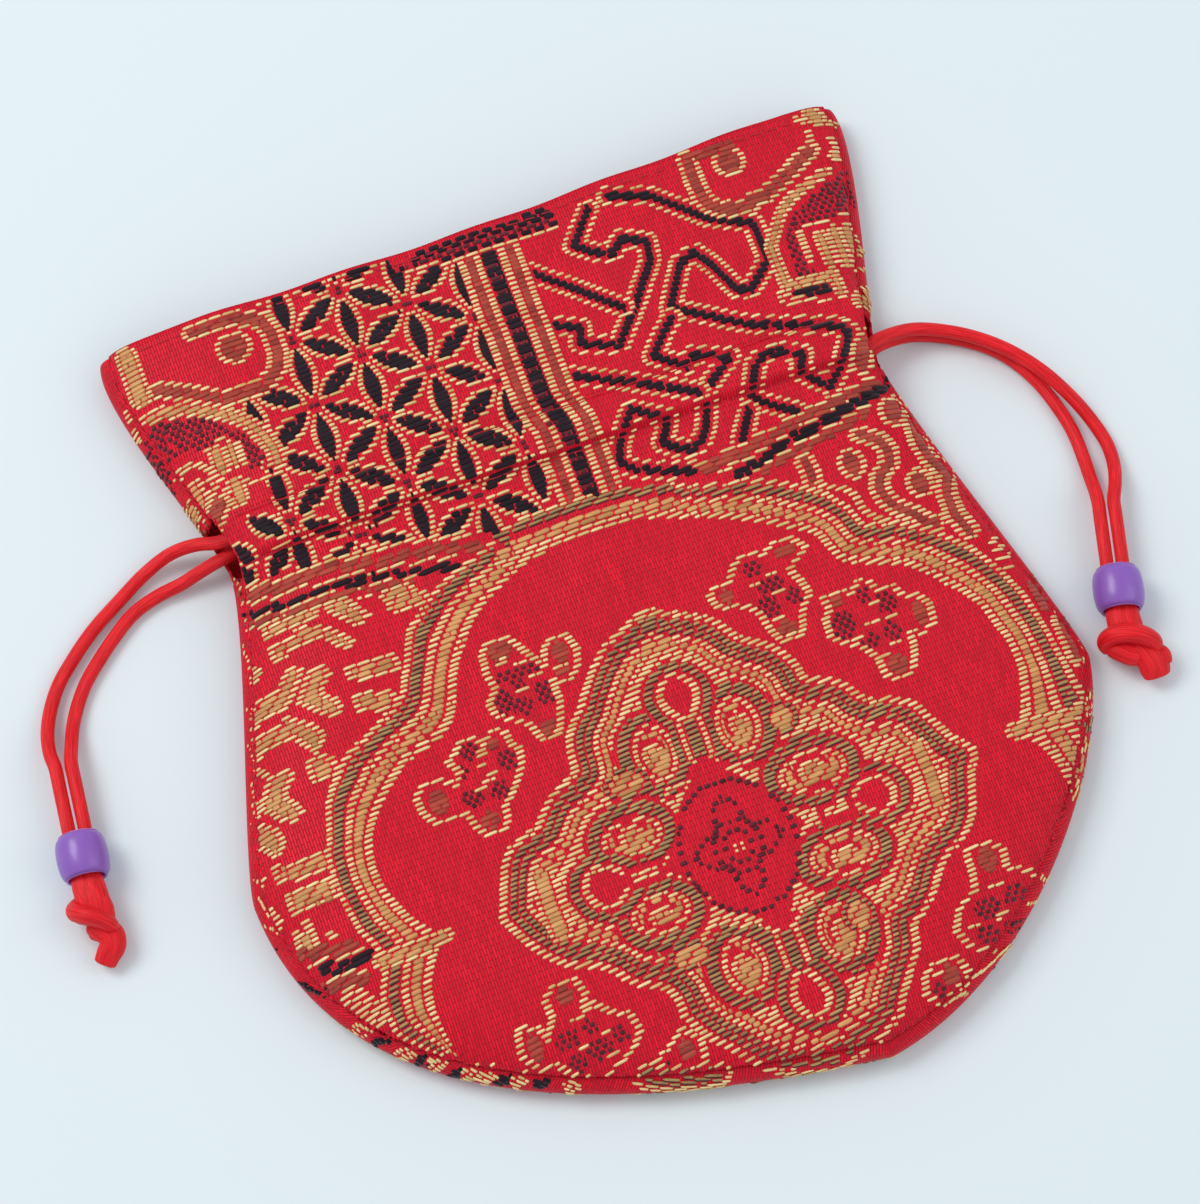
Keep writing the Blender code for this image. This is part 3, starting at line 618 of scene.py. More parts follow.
# %% Hidden cord in the channel
hidden_cords = {}
LANE_POINTS, LANE_INSET, HIDDEN_STEP = 13, 0.0012, 0.0012
for side, sign in (("left", -1), ("right", 1)):
    lane = CHANNEL_Y - sign * LANE_OFFSET
    x = sign * np.linspace(1, -1, LANE_POINTS) * (CHANNEL_END - LANE_INSET)
    y = np.full(LANE_POINTS, lane)
    front_lane = np.column_stack((x, y, lane_height(x, y)))
    far_x, _, far_z = front_lane[-1]
    radius = (far_z - BACK_LANE_HEIGHT) / 2
    turn = [
        (far_x - sign * radius * math.cos(a), lane, BACK_LANE_HEIGHT + radius * (1 + math.sin(a)))
        for a in np.radians((60, 30, 0, -30, -60))
    ]
    back_lane = np.column_stack((x[::-1], y, np.full(LANE_POINTS, BACK_LANE_HEIGHT)))
    points = evenly(smooth_route([*front_lane, *turn, *back_lane], 12), HIDDEN_STEP)
    hidden_cords[side] = cord_object(f"cord_{side}_channel", points, CORD_RADIUS, satin)
    print(f"hidden stretch of the {side} cord:", round(path_length(points) * 1000, 1), "mm")

# %% [markdown]
# The ground of the brocade is a red silk satin. Its warp threads float over several wefts, so the cloth
# shows fine lines along the pouch, broken like bricks, and a soft sheen across them. The pattern uses
# the cloth's own flat coordinates in millimetres, so that it runs over the rolled edge unbroken.

# %% Red silk satin material
SATIN_RED = "#F2142F"
SATIN_DEEP = "#8A081A"
WARP_PITCH, FLOAT_LENGTH = 0.42, 1.9

silk, tree, shader = new_material(
    "red silk satin", 0.48, Sheen_Weight=0.03, Sheen_Roughness=0.4, Specular_IOR_Level=0.16
)
shader.inputs["Sheen Tint"].default_value = linear("#FF5050")
cloth = add(tree, "ShaderNodeUVMap", {"uv_map": "cloth"})
turned = add(
    tree, "ShaderNodeMapping", {"vector_type": "POINT"},
    {"Vector": cloth.outputs["UV"], "Rotation": (0, 0, math.radians(90))},
)
floats = add(
    tree, "ShaderNodeTexBrick", {"offset": 0.5, "squash": 1.0},
    {
        "Vector": turned.outputs["Vector"], "Scale": 1.0, "Mortar Size": 0.115, "Mortar Smooth": 1.0,
        "Brick Width": FLOAT_LENGTH, "Row Height": WARP_PITCH,
        "Color1": linear(SATIN_RED), "Color2": linear("#D20F29"), "Mortar": linear(SATIN_DEEP),
    },
)
uneven = add(
    tree, "ShaderNodeTexNoise", {"noise_dimensions": "2D"},
    {"Vector": cloth.outputs["UV"], "Scale": 0.16, "Detail": 3.0, "Roughness": 0.55},
)
shade = add(
    tree, "ShaderNodeMapRange", None,
    {"Value": uneven.outputs["Fac"], "From Min": 0.35, "From Max": 0.65, "To Min": 0.0, "To Max": 0.35},
)
tree.links.new(
    mix_colour(tree, shade.outputs["Result"], floats.outputs["Color"], linear("#C20F26")),
    shader.inputs["Base Color"],
)
weave_bump = add(
    tree, "ShaderNodeBump", {"invert": True},
    {"Height": floats.outputs["Fac"], "Strength": 0.5, "Distance": 0.00012},
)
tree.links.new(weave_bump.outputs["Normal"], shader.inputs["Normal"])
print("cloth material:", silk.name)

# %% [markdown]
# The front is one piece of cloth that rises from the seam to a flat crown, swells over the cords and
# falls into the two stitch lines. It could be sculpted or simulated; a height formula in x and y is
# used instead, because it keeps the frame's shape exactly and gives the threads a surface to lie on.

# %% Front panel
FINE_COLUMNS, LOWER_COUNT, FRILL_COUNT = 150, 78, 40
shares = crowded(FINE_COLUMNS)
channel_levels = np.concatenate((
    np.linspace(JOIN_Y, HEM_LOW, 12)[:-1],
    np.linspace(HEM_LOW, STITCH_HIGH + HEM_TAIL, 34),
))
straight = [straight_row(SEAM, y, shares) for y in channel_levels]
front_rows = lower_rows(shares, LOWER_COUNT) + straight + frill_rows(SEAM, shares, FRILL_COUNT)
front_heights = [front_height(row[:, 0], row[:, 1]) for row in front_rows]
front = sheet_of_rows("front_panel_cloth", front_rows, front_heights, silk, WALL)
print("front panel:", len(front.data.polygons), "faces")

# %% [markdown]
# The hem is the same cloth, folded down inside the mouth and sewn along the two stitch lines. Only its
# edge shows, at the mouth, so each hem is a plain sheet of its own right under or over its panel.

# %% Hems
HEM_COLUMNS = np.linspace(0, 1, 90)
FRONT_SHORT, BACK_SHORT = 0.0002, 0.0004  # each hem ends this far under the mouth's edge
BACK_SLACK = 0.00015  # the back hem swells this much past the channel's height
hem_seam = OUTLINE + INWARD * HEM_INSET
hem_levels = np.linspace(HEM_LOW, STITCH_HIGH + HEM_TAIL, 22)
front_hem_rows = [straight_row(hem_seam, y, HEM_COLUMNS) for y in hem_levels]
front_hem_rows += frill_rows(hem_seam, HEM_COLUMNS, 20, FRONT_SHORT)
front_hem_heights = [
    front_base(row[:, 0], row[:, 1]) - WALL - (CAVITY - CHANNEL_LIFT) * channel_swell(row[:, 1])
    + drape(row[:, 0], row[:, 1]) * smooth(0, 0.010, read_grid(SEAM_GRID, row[:, 0], row[:, 1]))
    for row in front_hem_rows
]
front_hem = sheet_of_rows("front_hem_cloth", front_hem_rows, front_hem_heights, silk, WALL)

back_hem_rows = [straight_row(hem_seam, y, HEM_COLUMNS[[0, -1]]) for y in hem_levels]
for part in np.linspace(0, 1, 7)[1:]:
    y_left = hem_levels[-1] + (MOUTH_Y - MOUTH_RISE - BACK_SHORT - hem_levels[-1]) * part
    y_right = hem_levels[-1] + (MOUTH_Y - BACK_SHORT - hem_levels[-1]) * part
    back_hem_rows.append(
        np.array([(side_x(hem_seam, y_left, -1), y_left), (side_x(hem_seam, y_right, 1), y_right)])
    )
back_hem_heights = [2 * WALL + (CAVITY + BACK_SLACK) * channel_swell(row[:, 1]) for row in back_hem_rows]
back_hem = sheet_of_rows("back_hem_cloth", back_hem_rows, back_hem_heights, silk, WALL)
print("hems:", len(front_hem.data.polygons), len(back_hem.data.polygons), "faces")

# %% [markdown]
# The back panel lies flat on the table and its edge rolls up round the pouch to the seam. Each point of
# the outline carries a half ring of the roll; where a cord leaves, the ring stops short, which opens
# the slit.

# %% Back panel
ROLL_STEPS = 12
CLOTH_LIFT = 0.00021  # leaves room under the back for its threads, which lie on the table


def roll_point(point, inward, angle):
    """A place on the rolled edge: angle -90 degrees is the floor and 0 the widest place."""
    x, y = point + inward * ROLL_RADIUS * (1 - math.cos(angle))
    return x, y, CLOTH_LIFT + (ROLL_RADIUS - CLOTH_LIFT / 2) * (1 + math.sin(angle))


SLIT_EASE = 0.0016  # over this length the roll falls from the seam to the slit's floor


def top_angle(y):
    """Where the rolled edge ends: at the seam, or lower in a slit."""
    low = math.asin(SLIT_FLOOR / ROLL_RADIUS - 1)
    high = math.acos(1 - FRONT_INSET / ROLL_RADIUS)
    inside = 1 - smooth(SLIT_LENGTH / 2, SLIT_LENGTH / 2 + SLIT_EASE, abs(y - SLIT_Y))
    return high + (low - high) * inside * (y > JOIN_Y)


points, flat = [], []
for point, inward in zip(OUTLINE, INWARD):
    for angle in np.linspace(-math.pi / 2, top_angle(point[1]), ROLL_STEPS + 1):
        points.append(roll_point(point, inward, angle))
        flat.append(point + inward * (ROLL_RADIUS - ROLL_RADIUS * (angle + math.pi / 2)))
per_ring = ROLL_STEPS + 1
faces = [
    (r * per_ring + k, (r + 1) * per_ring + k, (r + 1) * per_ring + k + 1, r * per_ring + k + 1)
    for r in range(len(OUTLINE) - 1)
    for k in range(ROLL_STEPS)
]
faces.append(tuple(r * per_ring for r in range(len(OUTLINE)))[::-1])
back_cloth = thick_sheet(
    "back_panel_cloth", np.array(points), faces, np.array(flat), silk, WALL
)
print("back panel:", len(back_cloth.data.polygons), "faces")

# %% [markdown]
# The brocade's figures are woven with extra wefts: flat gold, tan, rust, olive, black and dark red
# threads that cross over the red ground wherever the pattern needs them. A weaver plans this on squared
# paper. Here that paper is an array of colour numbers in tenths of a millimetre, drawn with strokes,
# filled outlines and ovals, and read off row by row when the threads are laid.

# %% The weaver's squared paper
RED, GOLD, TAN, RUST, OLIVE, BLACK, DARK = range(7)
CELL = 0.1  # mm
ROW_GRAIN = 0.74  # mm from one row of floats to the next
CHECK_STEP, CHECK_SHARE = 1.15, 0.72
PAPER_X, PAPER_Y = -68.0, -80.0
paper = np.zeros((1560, 1360), np.uint8)


def window(points, margin):
    """The part of the paper round some points, and the place of each of its cells."""
    points = np.atleast_2d(points)
    low = (points.min(axis=0) - margin - (PAPER_X, PAPER_Y)) / CELL
    high = (points.max(axis=0) + margin - (PAPER_X, PAPER_Y)) / CELL + 1
    c0, r0 = np.maximum(low.astype(int), 0)
    c1, r1 = np.minimum(high.astype(int), (paper.shape[1], paper.shape[0]))
    x = PAPER_X + (np.arange(c0, max(c1, c0)) + 0.5) * CELL
    y = PAPER_Y + (np.arange(r0, max(r1, r0)) + 0.5) * CELL
    return (slice(r0, max(r1, r0)), slice(c0, max(c1, c0))), *np.meshgrid(x, y)


def distance_to(points, x, y, wide=1.0, tall=1.0):
    """Distance from each cell to a line of points, counted in brush sizes."""
    scale = np.array((wide, tall))
    best = np.full(x.shape, 1e9)
    for a, b in zip(points, points[1:]):
        step = (np.array(b) - a) / scale
        u, v = (x - a[0]) / wide, (y - a[1]) / tall
        t = np.clip((u * step[0] + v * step[1]) / max(step @ step, 1e-9), 0, 1)
        best = np.minimum(best, (u - t * step[0]) ** 2 + (v - t * step[1]) ** 2)
    return np.sqrt(best)


def stroke(points, colour, wide=0.65, tall=0.4):
    """A line drawn with an oval brush, wider than tall, as the threads lie across."""
    for a, b in zip(points, points[1:]):
        part, x, y = window((a, b), (wide, tall))
        paper[part][distance_to((a, b), x, y, wide, tall) <= 1] = colour


def inside(points, x, y):
    result = np.zeros(x.shape, bool)
    for (ax, ay), (bx, by) in zip(points, [*points[1:], points[0]]):
        if ay != by:
            crosses = (ay > y) != (by > y)
            result ^= crosses & (x < (bx - ax) * (y - ay) / (by - ay) + ax)
    return result


def fill(points, colour):
    part, x, y = window(points, 0)
    paper[part][inside(points, x, y)] = colour


def spot(x, y, wide, tall, colour):
    part, u, v = window((x, y), (wide, tall))
    paper[part][((u - x) / wide) ** 2 + ((v - y) / tall) ** 2 <= 1] = colour


def block(x0, x1, y0, y1, colour):
    part, *_ = window(((x0, y0), (x1, y1)), 0)
    paper[part] = colour


def edged(points, colour, half, edge=GOLD, rim=0.85, gap=0.0):
    """A band of one colour between two edge lines, with a gap of ground if there is room."""
    stroke(points, edge, half + gap + rim * 1.25, half + gap + rim)
    if gap:
        stroke(points, RED, half + gap, half + gap)
    stroke(points, colour, half, half)


def oval(x, y, wide, tall, colour=RUST):
    spot(x, y, wide + 0.95, tall + 0.75, GOLD)
    spot(x, y, wide, tall, colour)


def leaf(points, half=1.5, colour=TAN):
    """A leaf or tab: a short solid stroke in a gold outline."""
    edged(points, colour, half, GOLD, 0.75)


def motif(points):
    """A solid tan figure in a thin gold outline."""
    fill(points, TAN)
    stroke(points + points[:1], GOLD, 0.5, 0.36)


def checks(x, y):
    """Short floats that step along from one row to the next."""
    return (x / CHECK_STEP + 0.5 * (np.floor(y / ROW_GRAIN) % 2)) % 1 < CHECK_SHARE


def checker(points):
    """A field of dark red checks."""
    part, x, y = window(points, 0)
    paper[part][inside(points, x, y) & checks(x, y)] = DARK


# %% [markdown]
# Round the middle medallion runs a cartouche border of scrolls. It is kept as its two edge lines; what
# lies between them is coloured by how far across it is from the inner line to the outer one.

# %% Cartouche border
BORDER_INNER = [
    (-37.5, -57), (-39.8, -54), (-41.8, -51.5), (-42.7, -50), (-43, -48), (-43.2, -46), (-43.3, -44),
    (-43, -42), (-42.5, -40), (-41.7, -38.5), (-40.7, -37), (-39, -34.5), (-40.5, -32.5), (-42, -30.7),
    (-43.3, -28), (-44, -26), (-44.4, -24), (-44.5, -22), (-44.2, -20), (-43.8, -18), (-43, -16.5),
    (-42, -15), (-40.5, -13.5), (-39, -12), (-37, -10.2), (-35.5, -9), (-33.5, -8.5), (-31, -7.7),
    (-29, -6.8), (-27.5, -5.5), (-26.5, -3.5), (-25.7, -1.5), (-25, 0.5), (-24, 2.5), (-22, 5),
    (-21, 6.5), (-19.5, 8), (-18, 9.3), (-16.5, 10.3), (-14.5, 11.3), (-12.5, 12.5), (-9.5, 13.7),
    (-6.5, 14.3), (-3.5, 14.8), (-0.5, 15.1), (3.5, 14.9), (5.5, 14.4), (8, 14.3), (10, 13.8),
    (12.5, 12.7), (14.5, 12.2), (16.5, 11.5), (19, 10.5), (22, 9), (24, 8), (26, 6.5), (27.5, 5.5),
    (29, 5), (30.5, 3.5), (31.5, 0.5), (32, -1), (33.5, -2), (36, -3), (38.5, -4), (41, -5),
    (42.5, -6.5), (44, -8), (45, -9.5), (46.5, -11), (48.5, -14), (49.5, -18), (50.2, -20),
    (50.4, -23), (50.3, -25), (49.5, -27.5), (48.5, -30), (47.5, -32), (46.5, -33.3), (47.7, -35),
    (48.8, -36.5), (49.5, -38), (50.3, -41), (50.6, -43.5), (50, -46.5), (48.6, -49.5), (46, -53),
]
BORDER_OUTER = [
    (-42, -53), (-45, -50), (-48, -47.5), (-49, -46.5), (-49.8, -45), (-50, -43), (-50, -40),
    (-49.5, -38.5), (-48.5, -36.5), (-48.3, -35), (-48.5, -33), (-50, -30), (-50.5, -27), (-51, -24),
    (-50.8, -18), (-50, -16.5), (-49.3, -14), (-48.5, -11), (-47, -8.5), (-45.5, -7), (-44, -5),
    (-41, -3.6), (-38, -2), (-35, -0.3), (-33.5, 1), (-32.5, 3.3), (-31.3, 5.5), (-30.5, 7.7),
    (-29.5, 10), (-28, 11), (-26.5, 12.3), (-25, 13.8), (-20.5, 16), (-16, 17.5), (-12, 19.5),
    (-10, 20.2), (-7.5, 20.7), (-5, 20.5), (-2, 20.4), (0.5, 20.5), (3, 20.3), (5.5, 20), (8, 19.5),
    (10.5, 19), (13, 18.5), (15.5, 17.5), (19, 16.3), (23.9, 15.6), (29.4, 13.1), (34.3, 9.6),
    (36.8, 6.2), (37.8, 3.2), (42.2, 2.2), (47.2, -1.3), (51.1, -5.2), (53.6, -9.7), (55.6, -14.6),
    (56.6, -20.6), (57.1, -25.5), (57.6, -29.5), (58.6, -33.4), (59, -38), (59, -43), (57.5, -48),
]
BORDER_LAYERS = (
    (0.18, GOLD), (0.21, RED), (0.42, TAN), (0.45, RED), (0.60, GOLD), (0.63, RED), (0.85, OLIVE),
    (0.87, RED), (1.01, GOLD),
)


def border(inner, outer, layers):
    part, x, y = window(inner + outer, 1.0)
    from_inner, from_outer = distance_to(inner, x, y), distance_to(outer, x, y)
    across = from_inner / (from_inner + from_outer + 1e-6)
    between = inside(inner + outer[::-1], x, y)
    for limit, colour in reversed(layers):
        paper[part][between & (across < limit)] = colour


# %% [markdown]
# The fields round the border come first, because the border covers their edges: a lattice of black
# lenses at the upper left, a key fret at the upper right, scroll bands down both sides, and leaves.

# %% Lattice and key fret
LATTICE_X, LATTICE_Y, LATTICE_STEP, LATTICE_RISE = -4.3, 41.8, 8.9, 10.8


def lens(a, b, half, colour, short=0.0):
    """A pointed oval between two points."""
    a, b = np.array(a, float), np.array(b, float)
    along = b - a
    length = np.linalg.norm(along)
    along = along / length
    square = np.array((-along[1], along[0]))
    t = np.linspace(short, length - short, 13)
    bulge = half * np.sin(np.pi * (t - short) / (length - 2 * short)) ** 0.8
    one = [tuple(a + along * s + square * w) for s, w in zip(t, bulge)]
    other = [tuple(a + along * s - square * w) for s, w in zip(t, bulge)]
    fill(one + other[::-1], colour)


links, nodes = [], []
for i in range(-0, 6):
    for j in range(-2, 4):
        x, y = LATTICE_X - LATTICE_STEP * i, LATTICE_Y + LATTICE_RISE * j - (LATTICE_RISE / 2) * (i % 2)
        up = LATTICE_RISE / 2
        nodes.append((x, y))
        for there in ((x, y + 2 * up), (x - LATTICE_STEP, y + up), (x - LATTICE_STEP, y - up)):
            links.append(((x, y), there))
for a, b in links:
    lens(a, b, 2.05, GOLD, 0.9)
for a, b in links:
    lens(a, b, 1.2, BLACK, 1.5)
for x, y in nodes:
    spot(x, y, 0.9, 0.5, DARK)

KEY_FRET = [
    [(17, 63.6), (13, 58.6), (15.5, 56.6), (18, 55.5), (20, 57.4), (23.4, 55.7), (22.9, 52.7),
     (18.5, 46.8), (14, 41.3), (8.6, 43.3), (9.6, 45.8), (5.6, 47.6)],
    [(5.6, 56.6), (10.6, 52.2), (16.5, 46.8)],
    [(20.5, 64.6), (26.4, 62.6), (33.3, 56.2), (39.3, 53.2), (39.3, 46.8), (35.3, 43.3), (33.3, 43.8),
     (31.3, 48.7), (29.4, 51.7), (26.9, 50.7), (23.0, 44.3), (33.3, 37.9), (45.2, 33.4), (46.4, 32.1),
     (45.4, 30.1), (43.4, 27.4), (40.8, 24.8), (38.8, 26.6), (37.4, 28.4), (38.7, 31), (36.3, 32.3),
     (33.1, 32.7), (31.6, 31.6), (30.4, 29.2), (29.2, 26.9), (31.8, 24.8), (34.8, 22.7)],
    [(22.6, 42.8), (20.5, 40.8), (18, 37.9), (20.8, 35.8), (22, 34.9), (23.6, 36.1), (28.6, 34.1),
     (25.6, 32), (23.5, 30.4), (22.5, 27.4), (21.5, 24.9), (20.1, 22.9), (18.1, 22.3), (16, 23.3),
     (14.6, 24.6), (15.9, 26.4), (16.6, 28.2), (14.4, 29.6), (12.1, 31), (10.6, 29.2), (8.6, 26.2),
     (7.8, 23.7), (9.6, 22), (13.6, 20.3), (17.7, 18.9)],
    [(6.1, 38.8), (13.5, 35.2), (22.4, 30.4)],
    [(28.2, 25.1), (26.7, 22.8), (25.5, 20.9)],
    [(40.2, 40.3), (46.2, 39.3)],
]
for points in KEY_FRET:
    edged(points, BLACK, 0.62, GOLD, 0.6, 0.42)
print("links in the lattice:", len(links), "lines in the fret:", len(KEY_FRET))

# %% [markdown]
# The dark red field outside the border holds large leaves, scrolls and dots. Those of the left band come
# first, then the upper corners and the right band. Each is drawn at its own place, in millimetres.

# %% Fields beside the border
block(-68, -41.5, -80, 63, RED)
block(-68, 68, -80, 18.5, RED)
fill([(-42, 23.3), (-42, 18), (-24, 16), (-12, 18.4), (-12, 19.4), (-17, 20.4), (-22, 21.9), (-28, 23)], RED)
for a, b in (((-46, 33.8), (-40.8, 29.2)), ((-41, 28), (-45.6, 23.8)), ((-49, 30.6), (-46.6, 25.8)),
             ((-50, 23.8), (-46.9, 26.4))):
    lens(a, b, 2.0, GOLD)
    lens(a, b, 1.15, BLACK, 0.5)

# Upper left scroll.
fill([(-44.4, 67.9), (-35.8, 67.9), (-33.5, 63.9), (-33.5, 56.8), (-34.4, 54.4), (-36.8, 52.7),
      (-40.3, 52.3), (-43.4, 52.6), (-51.9, 57), (-61, 57.8), (-61, 67.9)], RED)
edged([(-54.6, 63.7), (-54.6, 56.4)], TAN, 1.1, GOLD, 0.45)
oval(-39.3, 59.8, 1.9, 2.0)
edged([(-44.4, 64.1), (-37.8, 64.1), (-34.4, 62.7), (-33.5, 60.3), (-33.5, 56.8), (-34.4, 54.4),
       (-36.8, 52.7), (-40.3, 52.3), (-43.4, 52.6), (-45.9, 54), (-48.4, 55.4), (-51.9, 57)],
      RUST, 0.8, GOLD, 0.7)
edged([(-54.4, 53.2), (-50.9, 53.2), (-47.9, 52.4), (-45.4, 51.1), (-42.8, 49.4), (-40.8, 47.5),
       (-39.4, 45.2), (-38.7, 42.7), (-38.7, 40.3)],
      TAN, 0.6, GOLD, 0.65)
checker([(-56, 50.2), (-54.9, 51.8), (-51.9, 51.8), (-47.9, 51.1), (-45.4, 49.5), (-43.4, 47.7),
         (-41.8, 45.9), (-40.6, 43.7), (-40.8, 41.2), (-42.3, 40.4), (-43.9, 41.7), (-43.4, 45.2),
         (-43.9, 46.2), (-51.4, 46.2), (-53.5, 45.7), (-54.2, 43.2), (-54.2, 39.7), (-55.5, 43.7),
         (-56.5, 47.7)])
stroke([(-53.2, 42.5), (-52.7, 43.7), (-51.2, 44.1), (-49.5, 43.6), (-48.6, 42.5)], GOLD, 0.7, 0.6)
for points in (
    [(-51.9, 41.3), (-50.2, 41.3)], [(-51.7, 40.6), (-49.9, 40.6)], [(-49.4, 41.3), (-46.9, 41.3)],
    [(-49.5, 40.6), (-47.2, 40.6)], [(-48.4, 45.9), (-46.9, 45.9)], [(-46.2, 46.3), (-44.4, 46.3)],
    [(-43.4, 41.7), (-43.4, 45.5)], [(-49.9, 39.2), (-47.4, 39.2)], [(-49.2, 35.6), (-49.2, 38.7)],
    [(-46.7, 35.6), (-46.7, 38.7)], [(-45.4, 39), (-38.8, 38.7)], [(-57, 55.3), (-57, 53.8)],
    [(-56.8, 52.3), (-56.8, 50.2)],
):
    stroke(points, GOLD, 0.5, 0.4)
for points, half in (
    ([(-46.8, 44.9), (-46.8, 41.9)], 0.7), ([(-44.6, 45), (-44.6, 42.5)], 0.4),
    ([(-51.4, 39.9), (-51.4, 37.9)], 0.8), ([(-45.6, 39.4), (-45.6, 37)], 0.8),
    ([(-52.7, 38), (-52.6, 35.8)], 0.5),
):
    edged(points, TAN, half, GOLD, 0.5)
stroke([(-48.7, 38.5), (-47.1, 37.4)], RUST, 0.5, 0.4)
leaf([(-53.5, 31.5), (-51, 34), (-48.8, 37)], 1.0, RUST)

# Upper right scroll.
block(41.5, 52.5, 56.5, 67.5, RED)
edged([(33.6, 66.4), (33.5, 62.9), (33.6, 59.8), (34.2, 58.1), (35.8, 56.7), (38.8, 56.2), (42.9, 57),
       (46.9, 59), (51.4, 61.6)], RUST, 0.8, GOLD, 0.7)
oval(39.4, 63.9, 1.7, 1.9)
stroke([(34.3, 66.5), (40.8, 66.5)], RUST, 0.8, 0.5)
edged([(52.4, 57.5), (48.9, 56.4), (45.9, 55), (43.7, 53.3), (42.1, 51.1), (40.4, 48.7), (40.3, 42.3),
       (41.2, 41.6), (47.4, 41.5)], TAN, 0.45, GOLD, 0.5)
checker([(42.5, 42.9), (42.7, 48.7), (44.1, 51.6), (46.9, 53.6), (49.9, 55), (54.8, 56.8),
         (55.6, 56.8), (54.6, 50.3), (45.9, 50.3), (44.7, 48.7), (44.7, 43.7), (45.4, 42.6)])
for points in (
    [(46.4, 50.1), (49.9, 50.1)], [(52.1, 50.1), (53.3, 50.1)], [(45.2, 44.7), (45.2, 49.3)],
    [(51.1, 44), (51.7, 44)], [(51.1, 40.7), (51.7, 40.7)], [(51.3, 67.2), (52.2, 66.4)],
    [(38.8, 41), (39.8, 40.4), (41.9, 39.3), (43.9, 38.2), (45.4, 37.8)], [(55.8, 64.9), (56.5, 64.2)],
    [(52.3, 64.5), (52.3, 62.2)], [(55, 62.9), (55.4, 60.8)], [(54.6, 58.8), (55, 58.8)],
):
    stroke(points, GOLD, 0.6, 0.42)
fill([(40.6, 40.6), (43.4, 40.1), (46.5, 40.4), (45.9, 38.7), (44.5, 38.6), (42.9, 39.5)], BLACK)
for points, half in (
    ([(47.9, 48), (47.9, 43.4)], 0.5), ([(50.1, 48), (50.1, 42.4)], 0.5), ([(51.9, 47.5), (51.9, 43.5)], 0.6),
    ([(47.6, 40.5), (47.6, 38)], 0.4), ([(53.7, 67.3), (54.4, 66.1)], 0.8), ([(54.6, 59.7), (55, 59.2)], 0.4),
):
    edged(points, TAN, half, GOLD, 0.5)
leaf([(52.6, 34.3), (50.5, 36.2)], 1.1)
leaf([(46.3, 26.5), (47.5, 29), (50, 30.5)], 1.0, RUST)
leaf([(50.6, 24.6), (50.8, 27.5)], 0.9)

# Top strip and the vertical band in the middle.
fill([(-13, 62.9), (11.5, 62.9), (12, 68), (-14, 68)], RED)
for row, (y, colour) in enumerate(((63.3, BLACK), (64.0, DARK), (64.7, BLACK), (65.4, BLACK))):
    for x in np.arange(-12.6 + row, 11, 2.1):
        block(x, x + 1.7, y - 0.36, y + 0.36, colour)
stroke([(-11.2, 62.5), (11.5, 62.3)], GOLD)
block(-2.6, 7.2, 20, 34, RED)
block(-2.6, 5.7, 34, 61.5, RED)
for x, colour, wide in (
    (-2.1, GOLD, 0.5), (-0.65, RUST, 0.75), (0.4, GOLD, 0.5), (2.25, BLACK, 1.25), (4.2, GOLD, 0.6),
    (5.5, RUST, 0.6), (6.6, GOLD, 0.5),
):
    stroke([(x, 20.5), (x, 32), (x - 1.5, 37), (x - 1.6, 61.8)], colour, wide)
for y in np.arange(22, 61, 2.22):
    shift = 0 if y < 33 else -1.5
    stroke([(1.4 + shift, y), (2.6 + shift, y)], DARK, 0.3, 0.4)

# Left band under the channel, then its motifs.
for points, colour, tall in (
    ([(-50.9, 23.2), (-27.7, 22.9), (-21.7, 21.7), (-16.6, 20.3)], GOLD, 0.4),
    ([(-50.9, 22.1), (-35.8, 22.1), (-29.7, 20.9), (-21.7, 20.1), (-15.6, 18.3)], RUST, 0.75),
    ([(-50.9, 20.9), (-39.8, 20.7), (-29.7, 19.7), (-19.7, 18.2)], GOLD, 0.4),
    ([(-51.4, 19.3), (-35.8, 19.3), (-29.7, 18.8), (-25.7, 17.7), (-19.7, 16.7)], BLACK, 0.55),
    ([(-51.4, 18.5), (-37.8, 18.5), (-31.8, 18.1), (-25.7, 16.9)], GOLD, 0.3),
    ([(-50.9, 17.9), (-37.8, 17.9), (-31.8, 17.4), (-26.7, 16.5)], RUST, 0.35),
    ([(-50.9, 17.2), (-39.8, 17.3), (-32.8, 16.7)], GOLD, 0.3),
):
    stroke(points, colour, 0.8, tall)
